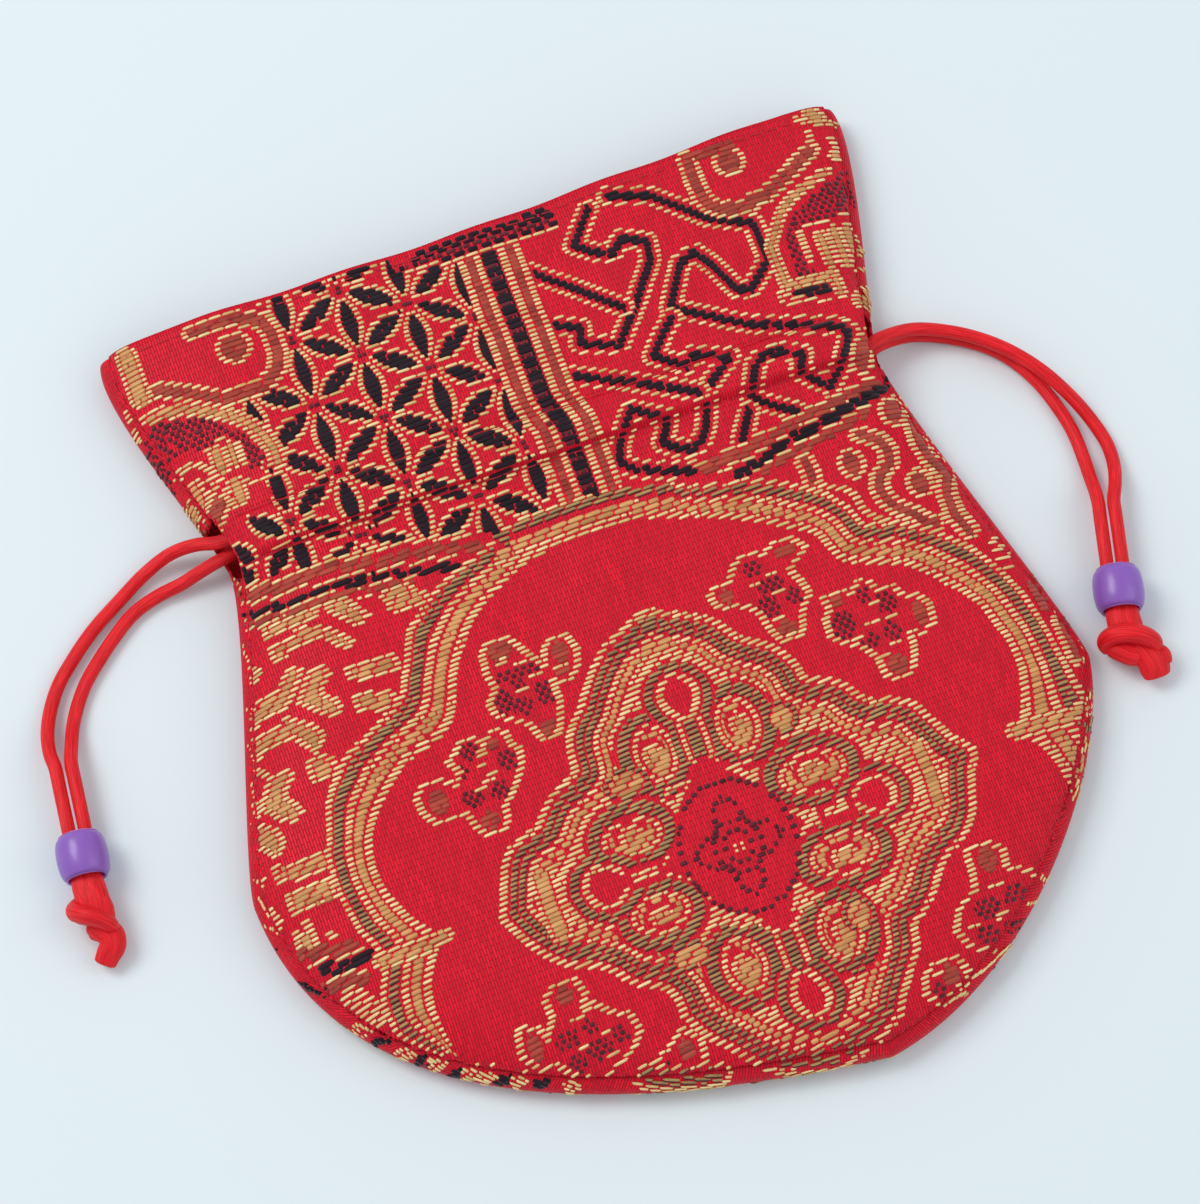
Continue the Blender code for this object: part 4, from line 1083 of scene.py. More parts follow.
for points in (
    [(-48.7, 15), (-45.9, 15.3), (-41, 15.8), (-40.6, 17.1), (-43.9, 16.9), (-48.5, 16.4)],
    [(-39, 16.5), (-37.3, 17.5), (-35.8, 16.7), (-35, 15.1), (-33.8, 13.7), (-35.8, 12.7),
     (-37.1, 14.3), (-38.6, 15.7)],
    [(-48.7, 13.7), (-45.9, 13.9), (-43.9, 14.9), (-41.8, 14.7), (-39.8, 13.6), (-38.2, 11.9),
     (-37.2, 10.7), (-38.1, 10), (-39.4, 11), (-40.4, 12.3), (-42.3, 13.1), (-45.7, 12.3), (-48.5, 11.3)],
    [(-55.6, 4.4), (-53.9, 5.7), (-50.4, 7), (-48.9, 7.6), (-47.9, 8.9), (-46.9, 9.9), (-45.5, 9),
     (-46.4, 7.6), (-47.5, 6.2), (-48.9, 4.6), (-52.4, 3.8), (-55.8, 2.4)],
    [(-44.4, 8.6), (-42.4, 8.6), (-41.8, 7.2), (-43.5, 5.6), (-43.9, 4.4), (-42.2, 3.2), (-41.8, 1.5),
     (-43.5, 1), (-45.1, 2.4), (-46.5, 3.8), (-47.3, 4.4), (-45.9, 6.4)],
    [(-39.4, 7.5), (-35.8, 7.3), (-32.6, 7), (-32.2, 4.8), (-35.8, 4.8), (-39.2, 5.2)],
    [(-39.6, 2.8), (-36.8, 2.3), (-34.3, 1.6), (-34.2, -0.5), (-36.8, -0.3), (-39.6, 0.4)],
    [(-56, 0.7), (-54.5, 1.6), (-51.9, 2.1), (-49.4, 2.7), (-48.3, 1.9), (-46.7, 0.8), (-45.5, -1),
     (-46.1, -2.3), (-47.3, -3.2), (-48.5, -1.7), (-49.5, -0.2), (-52.4, -0.4), (-56, -1.7)],
    [(-54.4, -4.5), (-51.9, -4.4), (-51.4, -5.6), (-52.9, -6.9), (-53.4, -8.3), (-52.3, -9.7),
     (-51.7, -11.2), (-53.5, -11.8), (-55.1, -11), (-56, -9.5), (-57.3, -8.7), (-56, -7.1)],
    [(-48.9, -4.5), (-45.4, -4.5), (-45.4, -7.2), (-48.9, -7.2)],
    [(-59, -10.4), (-57.5, -11.3), (-56, -12.4), (-55.6, -14.1), (-56.4, -15.4), (-57.4, -16.1),
     (-58.3, -14.6), (-60, -13.4)],
    [(-58, -17.6), (-50.3, -17.5), (-50.3, -19.7), (-58, -19.9)],
    [(-57.5, -21.7), (-51.1, -21.6), (-51.1, -24.5), (-57.5, -24.8)],
    [(-58.2, -27.5), (-55.8, -27.5), (-55.8, -30.5), (-58.2, -30.5)],
):
    motif(points)
for points in (
    [(-52.2, 15.2), (-52.5, 12.9), (-52.4, 11.7), (-51.2, 10.7), (-52.5, 9.6), (-53.7, 9.6)],
    [(-60.2, -18.6), (-61.3, -19.8), (-61.2, -21.3), (-60.6, -22.9), (-59.8, -24.9), (-60.5, -26.2),
     (-61.8, -24.9)],
    [(-57.3, -4.9), (-58.2, -9.5)], [(-56.3, -26.2), (-56, -27.3)], [(-55.8, -3.4), (-55.1, -4)],
    [(-53.7, -29.1), (-53.1, -29.7)],
):
    stroke(points, GOLD, 0.7, 0.5)
oval(-28, 13.8, 2.3, 0.9, TAN)
oval(-29, 15.6, 1.8, 0.5, TAN)
for points, colour, tall in (
    ([(-59, -30.5), (-54.9, -31), (-50.9, -31.7)], RUST, 0.85), ([(-58, -32.3), (-50.4, -32.5)], GOLD, 0.35),
    ([(-56, -33.2), (-49.4, -33.3)], BLACK, 0.4), ([(-56, -34.1), (-49.4, -34.2)], BLACK, 0.4),
    ([(-57.5, -35.2), (-50.4, -35.2)], GOLD, 0.35), ([(-57, -36.1), (-50.9, -36.4)], RUST, 0.75),
):
    stroke(points, colour, 0.8, tall)
leaf([(-53.4, -38.6), (-52, -40.6), (-51.6, -42.4)], 1.0, GOLD)

# Right band and its motifs.
for points, colour, wide, tall in (
    ([(18, 19.5), (26, 20.6), (34, 22), (47, 24.1)], GOLD, 0.65, 0.4),
    ([(19, 18.8), (26, 19.5), (34, 21), (47, 23)], RUST, 1.0, 0.75),
    ([(21, 17.6), (27, 18.4), (34, 20), (47, 22)], GOLD, 0.65, 0.4),
    ([(23.5, 16.3), (26, 16.8), (31, 18.5), (37, 19.7), (45, 21.4), (49, 22)], BLACK, 1.2, 0.75),
    ([(26, 15.8), (31, 17.3), (38, 18.6), (45, 20.2)], GOLD, 0.65, 0.4),
    ([(27, 15.5), (30, 16.3), (36, 17.4), (40, 18), (44, 19)], RUST, 0.9, 0.55),
):
    stroke(points, colour, wide, tall)
edged([(42, 16.3), (44.3, 14.5), (45, 12.5), (44.5, 10.5), (42.5, 9.3), (41.7, 7.5), (42, 5.5), (43, 3.8),
       (45, 2), (46, 0.5), (47.5, -0.2)], RUST, 0.62)
edged([(33, 15), (33.2, 13), (33, 11.5)], RUST, 0.62)
stroke([(33.4, 11), (35, 10), (37, 9), (38, 7.5), (38.3, 5), (39.5, 3.5), (41.5, 2)], GOLD)
edged([(50, 15.5), (49.8, 12.5), (50.2, 9.5), (51.7, 6), (50.5, 3.5), (50.5, 0), (51.5, -3)], RUST, 0.62)
for x, y in ((39.3, 12.3), (47.5, 6.2), (47.8, 18)):
    oval(x, y, 1.25, 1.75)
for y in np.arange(-10, -4.4, 1.48):
    stroke([(53.8, y), (55.4, y)], GOLD, 0.5)
stroke([(57, -13.5), (57.4, -17.5)], RUST, 0.9)
edged([(58.8, -20), (58.9, -26)], RUST, 0.5)
block(57, 59.4, -33, -31, RUST)
stroke([(56.4, -34.4), (59, -34.6)], BLACK, 0.8, 0.6)
print("cells painted so far:", int((paper > 0).sum()))

# %% [markdown]
# The border lies over the fields' inner edges. Painting it last gives it one clean outline without
# having to cut each field to fit.

# %% Border over the fields
fill(BORDER_INNER + BORDER_OUTER[::-1], RED)
fill(BORDER_INNER, RED)
border(BORDER_INNER, BORDER_OUTER, BORDER_LAYERS)
# At the top the border narrows to big dashes in rows.
top_arc = [(-13, 16.2), (-8, 17.1), (-3, 17.3), (3.5, 17.2), (9, 16.4), (13, 15.2)]
for shift, colour, tall in ((-1.6, GOLD, 0.6), (0, TAN, 0.75), (1.2, RED, 0.25), (2.4, OLIVE, 0.5)):
    stroke([(x, y + shift) for x, y in top_arc], colour, 0.9, tall)
# Scroll cusps where the border's two edges come near.
for points in ([(-39, -34.5), (-44, -34.9), (-48, -35)], [(46.5, -33.3), (52, -33.8), (57, -33.6)]):
    edged(points, TAN, 0.7, GOLD, 0.7)

# %% [markdown]
# Inside the border, flowers with spread petals stand in pairs round the medallion. Each is a gold
# outline that holds checked dark red spots, a few solid rust tips and short gold flecks.

# %% Corner flowers


def flower(outline, darks, rusts, flecks):
    """A winged flower: a gold outline, checked dark spots, solid rust tips and a few gold floats."""
    fill(outline, RED)
    part, x, y = window(outline, 1.0)
    within = inside(outline, x, y)
    for u, v, wide, tall in darks:
        oval_here = ((x - u) / wide) ** 2 + ((y - v) / tall) ** 2 <= 1
        paper[part][within & oval_here & checks(x, y)] = DARK
    for u, v, wide, tall in rusts:
        spot(u, v, wide, tall, RUST)
    for u, v, half in flecks:
        stroke([(u - half, v), (u + half, v)], GOLD, 0.3, 0.38)
    stroke(outline + outline[:1], GOLD, 0.6, 0.38)


FLOWERS = (
    ([(-20.6, 2.5), (-19.5, 4.2), (-16.6, 4.1), (-15.4, 2.2), (-14.2, 0.2), (-12.8, -2), (-12, 0.6),
      (-10.8, 1.6), (-8.4, 1.4), (-7.6, -1), (-8.4, -3.6), (-10, -5), (-12.6, -4.6), (-12.4, -7.4),
      (-13.2, -9.8), (-13.9, -12), (-16.6, -12), (-17.6, -9.4), (-20, -7.8), (-21.6, -6.6), (-22, -4.6),
      (-20.4, -3), (-20.9, -0.6)],
     [(-16.8, -1.6, 3.6, 1.2), (-20, -5.2, 1.5, 2.0), (-17.6, -6.6, 1.6, 1.2), (-14, -5.6, 1.5, 1.9),
      (-17.2, -3.2, 1.0, 0.9)],
     [(-18, 2.5, 1.9, 1.7), (-15.2, -10.7, 1.5, 1.1), (-10, -0.7, 1.5, 1.6), (-10.6, -3.7, 1.3, 0.6)],
     [(-18.4, 0.7, 0.8), (-15.9, -0.6, 0.9), (-14.4, -2.8, 0.9), (-16.9, -4.4, 0.8), (-10.7, -2.6, 1.0)]),
    ([(-28, -8.7), (-26, -8.7), (-24.8, -9.9), (-22.6, -8.6), (-21.2, -9.4), (-21, -11.4), (-20.2, -12.4),
      (-20.6, -14.6), (-21.8, -16.4), (-23.2, -18.2), (-24.8, -19.6), (-25, -21.6), (-26, -23),
      (-28.6, -22.8), (-29.6, -21.2), (-30.2, -19), (-32, -18.6), (-34.6, -19), (-36, -17), (-36.2, -14.4),
      (-34.6, -12.8), (-32, -13.2), (-30.4, -14.4), (-29.2, -12.8), (-30.4, -10.8), (-29, -10.2)],
     [(-26.8, -10.3, 1.5, 1.7), (-22.2, -13.4, 1.5, 1.8), (-29.3, -13, 1.5, 1.1), (-28.6, -17, 1.7, 1.3),
      (-24.8, -17, 1.5, 1.3)],
     [(-33.4, -16, 1.6, 1.8), (-27.4, -20.9, 1.6, 1.3), (-23.6, -10.4, 1.2, 0.9)],
     [(-25.4, -11.2, 0.8), (-25, -14.2, 0.9), (-25.8, -15.6, 0.9), (-27.2, -16.2, 0.8), (-26, -12.6, 0.6)]),
    ([(17.6, 3.2), (19.6, 4.4), (22.4, 3.6), (24.4, 4.7), (27.4, 4.2), (28.4, 2.4), (26.6, 1.2), (25, 0),
      (26, -2.2), (26.6, -4.4), (25.2, -5.6), (24.2, -7.4), (23.6, -9.6), (20.2, -9.6), (19.2, -7.4),
      (18.8, -5), (17.4, -3), (15.4, -2.6), (13.4, -2), (12.9, 0), (14.2, 1.4), (16.4, 1.2)],
     [(20.4, -4.2, 1.6, 1.7), (24.2, -4, 1.4, 1.4), (21.8, -1, 2.2, 1.2), (20, 2, 1.4, 1.2)],
     [(21.6, -8, 1.7, 1.0), (15.2, -0.8, 1.2, 1.1), (25.4, 2.9, 1.8, 0.9)],
     [(22.4, 0.6, 0.8), (19.6, -0.2, 0.7), (22.4, -2.6, 0.9), (21, -6, 1.0)]),
    ([(28, -5.6), (30.6, -5.2), (32, -6.4), (33.4, -5), (35, -5.2), (35.8, -7.4), (38, -6.8), (38.8, -9),
      (40.8, -9.6), (42, -11.4), (41.6, -14.4), (39.4, -15.2), (37.8, -14.4), (37.6, -17), (36.4, -20),
      (34, -20.8), (32.4, -19.6), (32.2, -16.8), (30.6, -14.2), (28.4, -13), (27, -11.4), (27.2, -8.8),
      (28.4, -7.6)],
     [(29.2, -10.2, 1.9, 2.2), (36.2, -9, 1.7, 1.8), (33.6, -7, 1.1, 1.3), (32.2, -14, 1.5, 1.3),
      (35.6, -13.4, 1.4, 1.3)],
     [(29.6, -6.7, 1.1, 0.8), (40.2, -12.4, 1.1, 1.9), (34.6, -18.5, 1.7, 1.5)],
     [(34.6, -9, 0.8), (33.4, -11.4, 1.0), (36.2, -11.3, 0.8), (30.2, -13.1, 1.1), (33.4, -16.6, 0.6),
      (35.4, -15.2, 0.7)]),
    ([(-33.6, -50.4), (-31, -50.8), (-30.2, -53), (-28.6, -50.4), (-28.8, -47.6), (-26.8, -46), (-24, -46.4),
      (-23.2, -48.6), (-24.4, -50.6), (-22.2, -50.6), (-20.8, -52.4), (-18.4, -53.4), (-17.8, -56),
      (-19.4, -58), (-22, -59.6), (-25.6, -60.4), (-28.6, -59), (-30.2, -56.8), (-32.6, -56.6), (-34.4, -54)],
     [(-27.6, -54, 1.9, 1.6), (-24, -56.6, 2.0, 1.5), (-27.4, -57.6, 1.4, 1.3), (-20.4, -55.6, 1.3, 1.4),
      (-24.2, -53.4, 1.2, 1.1)],
     [(-32.2, -53.6, 1.2, 1.9), (-26, -48, 1.5, 1.2)],
     [(-25.4, -51.6, 0.9), (-22.4, -54.4, 0.7), (-26, -55.4, 0.7), (-22.4, -58, 0.8)]),
    ([(33.4, -47.4), (36.2, -46.8), (38.4, -48.6), (38, -51.4), (40.4, -52.6), (42.4, -55), (41.4, -58),
      (38.6, -60), (35.2, -62), (31.8, -62), (29, -60.2), (28, -57.4), (29.6, -54.6), (32.6, -53),
      (33.2, -50.4)],
     [(33.4, -56, 2.0, 1.6), (37.6, -55.4, 1.9, 1.5), (32, -59.4, 1.6, 1.3), (36, -59.4, 1.6, 1.3)],
     [(35.8, -49.4, 1.5, 1.7)],
     [(35.6, -53.4, 1.0), (34.8, -57.6, 0.9), (30.6, -57.6, 0.7), (39.4, -57.4, 0.7)]),
    ([(-15.6, -60), (-12.4, -57.8), (-10.4, -60), (-10.8, -63), (-13.6, -64.6), (-17.6, -63.8),
      (-19, -61.6)],
     [(-16.8, -62, 1.4, 1.1)], [(-12.8, -60.8, 1.3, 1.6)], [(-15, -62.8, 0.8)]),
    ([(21.6, -62), (24, -60.4), (26.8, -61.2), (27.6, -63.8), (25.6, -66.2), (22.4, -66.6), (20.8, -64.6)],
     [(22.8, -64.6, 1.4, 1.2)], [(25, -63, 1.4, 1.5)], [(23.4, -62.2, 0.7)]),
)
for shape in FLOWERS:
    flower(*shape)

# %% [markdown]
# The medallion is a stepped shape with four arms. It is ringed by bands that follow its outline at a
# fixed depth, and holds eight curls, four teardrops and the stems between them.

# %% The medallion and its four arms
MEDALLION = [
    (2, 0.8), (4.5, 0.8), (6, -0.3), (8, -0.9), (9.5, -1.9), (11, -2.6), (12, -3.5), (13, -4.7),
    (14, -6.5), (15, -7.5), (16.5, -8.5), (18.5, -9.8), (19.5, -11.3), (20.5, -13), (21, -14.5),
    (21, -15.8), (22, -16.4), (24, -17.1), (25.5, -18), (26.5, -19.2), (27.5, -21), (29, -22.3),
    (31, -22.5), (32.5, -23.5), (34, -24.3), (35, -25.5), (35.5, -27), (36.5, -29), (37.5, -31),
    (39, -32.5), (40, -34), (39.5, -35.3), (38.5, -36.5), (38, -38), (37.2, -40), (36.8, -41.5),
    (36, -43), (34.5, -44.8), (33, -45.8), (31, -46.8), (29.5, -48), (28, -50), (27, -51.5),
    (25.5, -52.8), (24.5, -53.8), (22.8, -54.6), (22.5, -56), (22, -58), (20.5, -60), (19, -62),
    (17.5, -64), (16.5, -66), (13, -68), (9, -69.5), (5.5, -70.5), (2, -69.5), (-2, -68), (-4, -66),
    (-5.5, -64.5), (-7, -62.5), (-8.5, -61), (-10, -59), (-11.5, -56), (-11.3, -55), (-11.5, -53.5),
    (-12.2, -52), (-13.5, -51), (-15.5, -50.2), (-17, -49), (-18, -47.5), (-19.5, -46.2), (-21, -45.3),
    (-24, -44.3), (-26, -42.5), (-27.5, -40.5), (-28.5, -39), (-29.5, -37), (-30.5, -35), (-29.7, -33),
    (-29, -31), (-28, -28.5), (-27, -26.7), (-26, -25.5), (-24, -24.9), (-21.5, -24), (-20, -22.2),
    (-18.5, -20.7), (-17.5, -20), (-15.5, -19.2), (-13.8, -18.3), (-13.7, -17), (-13.5, -15),
    (-13, -13.3), (-12, -11.5), (-11, -10.5), (-10, -9.5), (-9, -7.9), (-7.5, -6), (-6.5, -4.6),
    (-5, -3.3), (-4.5, -2.5), (-3, -1.6), (-1, -0.8), (0.5, 0), (2, 0.8),
]
MEDALLION_LAYERS = (
    (0.6, GOLD), (0.9, RED), (2.0, OLIVE), (2.1, RED), (3.1, OLIVE), (3.3, RED), (4.1, GOLD),
    (4.3, RED), (5.2, TAN), (5.4, RED), (6.1, GOLD), (99, GOLD),
)
MIDDLE_X, MIDDLE_Y = 3.75, -35.4
part, x, y = window(MEDALLION, 1.0)
depth, within = distance_to(MEDALLION, x, y), inside(MEDALLION, x, y)
for limit, colour in reversed(MEDALLION_LAYERS):
    paper[part][within & (depth < limit)] = colour
stroke(MEDALLION, GOLD, 0.62, 0.4)

# Each curl is an oval of olive, gold and tan rings; each teardrop is bare ground in a gold line.
CURLS = (
    (-2.7, -19.5, 5.0, 6.4), (10.3, -19.3, 5.2, 6.3), (-9.6, -29.6, 6.4, 4.9), (-9.5, -41.8, 6.3, 4.9),
    (17.4, -29.0, 7.0, 5.1), (17.4, -42.2, 7.0, 5.1), (-1.5, -52.4, 5.1, 6.2), (13.3, -52.2, 5.2, 6.2),
)
# The ground shows round the middle.
fill([(3.6, -22.8), (7, -25.8), (9.6, -28.8), (10.6, -32), (13.8, -35.6), (10.6, -39), (9.6, -42.5),
      (8, -46.3), (5.8, -49.4), (3, -46.6), (0.4, -44.4), (-2.2, -41.8), (-3.6, -38.5), (-7.4, -35.8),
      (-3.6, -32.5), (-2.6, -29), (0, -25.8)], RED)
for x, y, wide, tall in CURLS:
    # The rings are pushed a little to the middle's side, so that their outer arms are wider.
    away_x = np.sign(x - MIDDLE_X) if wide < tall else 0
    away_y = np.sign(y - MIDDLE_Y) if wide > tall else 0
    for cut, colour, shift in ((-0.5, RED, 0), (0, OLIVE, 0), (1.75, RED, 0.25), (2.0, GOLD, 0.3),
                               (2.75, RED, 0.35), (3.0, TAN, 0.4)):
        at_x, at_y = x - away_x * shift, y - away_y * shift
        spot(at_x, at_y, max(0.6, wide - cut), max(0.5, tall - cut), colour)
    # The spiral's end: an arc of ground and gold that breaks into the tan middle.
    turn = np.linspace(0.3, 3.6, 9)
    for reach, colour, brush in ((0.36, RED, (0.3, 0.3)), (0.24, GOLD, (0.45, 0.38))):
        u, v = reach * wide, reach * tall
        stroke([(x + u * math.cos(t), y + v * math.sin(t)) for t in turn], colour, *brush)

TEARDROPS = (
    [(3.5, -9.3), (1.9, -10), (1.0, -11.5), (0.9, -12.6), (1.4, -14.2), (2.5, -15.6), (3.6, -16.6),
     (4.6, -15.6), (5.6, -14.2), (6.1, -12.6), (6.0, -11.5), (5.1, -10), (3.5, -9.3)],
    [(-18.3, -35.2), (-17.6, -33.2), (-16, -32.4), (-14.2, -32.8), (-12.6, -34), (-11.6, -35.3),
     (-12.6, -36.8), (-14.2, -38), (-16, -38.4), (-17.6, -37.4), (-18.3, -35.2)],
    [(27.2, -35.4), (26.6, -33.6), (25, -32.7), (23.4, -33), (22, -34), (20.8, -35.2), (22, -36.6),
     (23.4, -37.6), (25, -38), (26.6, -37.2), (27.2, -35.4)],
    [(6, -62.4), (4.6, -61.8), (3.7, -60.3), (3.6, -58.8), (4.4, -56.8), (5.8, -54.8), (7.2, -56.8),
     (8.1, -58.8), (8.2, -60.3), (7.4, -61.8), (6, -62.4)],
)
for drop in TEARDROPS:
    stroke(drop, RED, 2.7, 2.2)
    stroke(drop, OLIVE, 2.4, 1.95)
    stroke(drop, RED, 0.95, 0.7)
    fill(drop, RED)
    stroke(drop, GOLD, 0.62, 0.38)

# Stems run from the teardrops to the middle, and open there into a wedge of bare ground.
for axis, top, foot in ((3.6, -16.6, -22.3), (5.8, -54.8, -49.6)):
    for wide, colour in ((3.2, OLIVE), (2.1, RED), (1.9, GOLD), (1.15, RED), (0.95, OLIVE)):
        stroke([(axis, top), (axis, foot)], colour, wide, 0.4)
    spread = -1.9 if foot > -36 else 1.9
    fill([(axis, foot), (axis - 3.0, foot + spread), (axis + 3.0, foot + spread)], RED)
    for sign in (-1, 1):
        stroke([(axis + sign * 2.4, foot), (axis + sign * 4.4, foot + spread)], OLIVE, 0.8, 0.55)
        low, high = foot + 1.35 * spread, foot + 1.6 * spread
        stroke([(axis + sign * 3.4, low), (axis + sign * 6.6, high)], GOLD, 0.6, 0.38)
for x0, x1 in ((-11.8, -7.6), (16.6, 20.6)):
    block(x0 - 0.6, x1 + 0.6, -37.4, -34.2, RED)
    for y in (-35.0, -36.0):
        stroke([(x0 + 0.6, y), (x1 - 0.6, y)], GOLD, 0.5, 0.4)
for x, y, wide, tall in ((-7.7, -22.3, 2.6, 1.6), (16.2, -20.4, 1.7, 1.8), (-7.7, -48.6, 2.6, 1.5),
                         (16.2, -50.8, 1.7, 1.8)):
    spot(x, y, wide + 0.8, tall + 0.6, OLIVE)
    spot(x, y, wide, tall, TAN)
edged([(1.4, -4.8), (5.2, -4.8)], TAN, 0.8, GOLD, 0.5)
edged([(-23.5, -31), (-23.7, -35.4), (-23.5, -39.5)], TAN, 1.1, GOLD, 0.5)
edged([(32.6, -31), (32.8, -35.2), (32.4, -39.5)], TAN, 1.0, GOLD, 0.5)

# %% [markdown]
# On the real pouch a woven sign fills the middle of the medallion. It is left out here: a plain
# rosette of dots in the same dark red takes its place, inside the same dotted ring.

# %% Rosette
RING_X, RING_Y, RING_WIDE, RING_TALL = 4.0, -35.9, 8.1, 9.7
spot(RING_X, RING_Y, RING_WIDE - 0.2, RING_TALL - 0.2, RED)
for a in np.linspace(0, 2 * math.pi, 44, endpoint=False):
    spot(RING_X + RING_WIDE * math.cos(a), RING_Y + RING_TALL * math.sin(a), 0.56, 0.4, DARK)
for a in np.linspace(0, 2 * math.pi, 40, endpoint=False):
    reach = 4.7 + 1.5 * math.cos(4 * a)
    spot(RING_X + reach * math.cos(a), RING_Y + 1.15 * reach * math.sin(a), 0.56, 0.4, DARK)
for reach, count in ((1.9, 10), (3.4, 16)):
    for a in np.linspace(0, 2 * math.pi, count, endpoint=False):
        spot(RING_X + reach * math.cos(a), RING_Y + 1.15 * reach * math.sin(a), 0.52, 0.4, DARK)
for x in (-0.5, 0.5):
    for y in (-0.4, 0.4):
        spot(RING_X + x, RING_Y + y, 0.5, 0.4, GOLD)

# %% [markdown]
# At the lower left the pattern runs out over the rolled rim, where only bits of it show: black wedges,
# groups of gold threads and the end of a leaf.

# %% Rim patches
for x, y in ((-61.5, -29), (-59, -35), (-57.5, -36.5), (-51.5, -46), (-47, -50), (-43.5, -53.5),
             (-37.5, -56.3), (-33, -58.3)):
    spot(x, y, 1.3, 1.0, BLACK)
for x, y in ((-54.5, -43.5), (-49, -48.5), (-45.5, -51), (-41.5, -54), (-39.5, -55),
             (-35.5, -57), (-29, -60)):
    for k in (-1, 0, 1):
        stroke([(x - 1.0, y + 0.8 * k - 0.3), (x + 1.0, y + 0.8 * k + 0.3)], GOLD, 0.4, 0.33)
leaf([(-19, -62.5), (-14.5, -64.3), (-10, -65.4)], 1.1, OLIVE)
stroke([(24, -65.4), (30, -63.8), (36, -61.4)], GOLD, 0.6, 0.4)
print("share of the paper that is figured:", round(float((paper > 0).mean()), 3))

# %% [markdown]
# The paper is drawn as the camera's view gives it, in the level plane 10 mm above the table. A point of
# the cloth that lies lower shows a little to one side, so each cell of cloth is first carried along the
# line of sight into that plane.

# %% From the cloth to the paper
EYE = np.array(camera.location)
PLANE = 0.010


def on_paper(x, y, z):
    """The paper's column and row, in mm, of places on the cloth."""
    pull = (EYE[2] - PLANE) / (EYE[2] - z)
    return (EYE[0] + (x - EYE[0]) * pull) / MM, (EYE[1] + (y - EYE[1]) * pull) / MM


def read_paper(x, y):
    column = np.clip(((x - PAPER_X) / CELL).astype(int), 0, paper.shape[1] - 1)
    row = np.clip(((y - PAPER_Y) / CELL).astype(int), 0, paper.shape[0] - 1)
    return paper[row, column]


# %% [markdown]
# A row of weft is read as runs of one colour. Each run is cut into floats at the tie-downs, where a
# warp thread holds the weft down, and the tie-downs step along from row to row as in twill. A thread of
# each colour has its own longest float, width and height.

# %% Reading rows into floats
ROW_PITCH = 0.00074
TINY = 0.0001
TIE_GAP = 0.00010
SLANT = math.radians(4.0)
SLANT_CHANGE = math.radians(-50.0)  # for each metre up the pouch, as the cloth was cut a little askew
# Longest float and width of the float in mm, and how much of the height of a full thread it has.
YARNS = {
    GOLD: ("gold", 2.1, 0.50, 1.0),
    TAN: ("tan", 2.6, 0.80, 0.75),
    RUST: ("rust", 3.2, 0.92, 0.5),
    OLIVE: ("olive", 2.5, 0.52, 0.9),
    BLACK: ("black", 3.4, 0.98, 0.5),
    DARK: ("dark_red", 1.4, 0.72, 0.7),
}
# SHADOW_WIDTH and SHADOW_DROP size and place a thin dark red float laid beside each olive float: painted
# shade along the olive thread's lower edge.
SHADOW_WIDTH, SHADOW_DROP, OLIVE_RISE = 0.26, 0.00031, 0.00010


def floats_of_row(codes, row):
    """Start cell, end cell and colour of each float in one row of colour numbers."""
    edges = np.flatnonzero(np.diff(codes.astype(int))) + 1
    starts, ends = np.concatenate(([0], edges)), np.concatenate((edges, [len(codes)]))
    found = []
    for start, end in zip(starts, ends):
        colour = int(codes[start])
        if colour in (RED, 255) or end - start < 4:
            continue
        longest = YARNS[colour][1] / CELL
        phase = (row * 0.37 * longest) % longest
        cuts = np.arange(phase - longest, len(codes) + longest, longest)
        cuts = [c for c in cuts if start + 0.35 * longest < c < end - 0.35 * longest]
        if colour == GOLD and end - start < 16:
            start, end = start - 1, end + 1
        for a, b in zip([start, *cuts], [*cuts, end]):
            found.append((a, b, colour))
    return found


def turns(along, normal):
    """Euler angles that turn X to the thread and Z to the cloth's normal, for arrays."""
    side = np.cross(normal, along)
    side /= np.linalg.norm(side, axis=1, keepdims=True)
    along = np.cross(side, normal)
    return np.column_stack((
        np.arctan2(side[:, 2], normal[:, 2]),
        -np.arcsin(np.clip(along[:, 2], -1, 1)),
        np.arctan2(along[:, 1], along[:, 0]),
    ))


rng = np.random.default_rng(7)
laid = {(face, name): [] for face in ("front", "back") for name, *_ in YARNS.values()}


def lay(face, colour, places, along, normal, lengths):
    """Keeps floats for later: place, angles, size and tone of each."""
    name, _, width, rise = YARNS[colour]
    angle = turns(along, normal)
    side = np.cross(normal, along)
    count = len(places)
    tone = rng.normal(0.5, 0.16, count)

    def keep(key, shift, wide, high):
        size = np.column_stack((lengths, np.full(count, wide * MM), np.full(count, high)))
        laid[face, key].append(np.column_stack((places + side * shift, angle, size, tone)))

    if colour == OLIVE:
        keep("olive", OLIVE_RISE, width, rise)
        # The thin dark red float beside each olive float is painted shade along its lower edge, not a thread
        # of the pattern.
        keep("dark_red", -SHADOW_DROP + OLIVE_RISE, SHADOW_WIDTH, 0.7)
    else:
        keep(name, 0.0, width, rise)


# %% [markdown]
# The front's rows waver a little, as in real cloth. Each float is placed on the cloth's own height and
# turned to its slope there.

# %% Floats of the front
SLOPE_STEP = 0.00015
FRONT_EDGE = 0.00022  # the cloth within this of the seam or of the mouth stays bare


def mouth_line(x):
    """The y of the mouth at each x, with its slope and its sag."""
    share = (x + MOUTH_WIDTH / 2) / MOUTH_WIDTH
    return MOUTH_Y - MOUTH_RISE * (1 - share) - MOUTH_SAG * np.clip(1 - (2 * share - 1) ** 2, 0, 1)


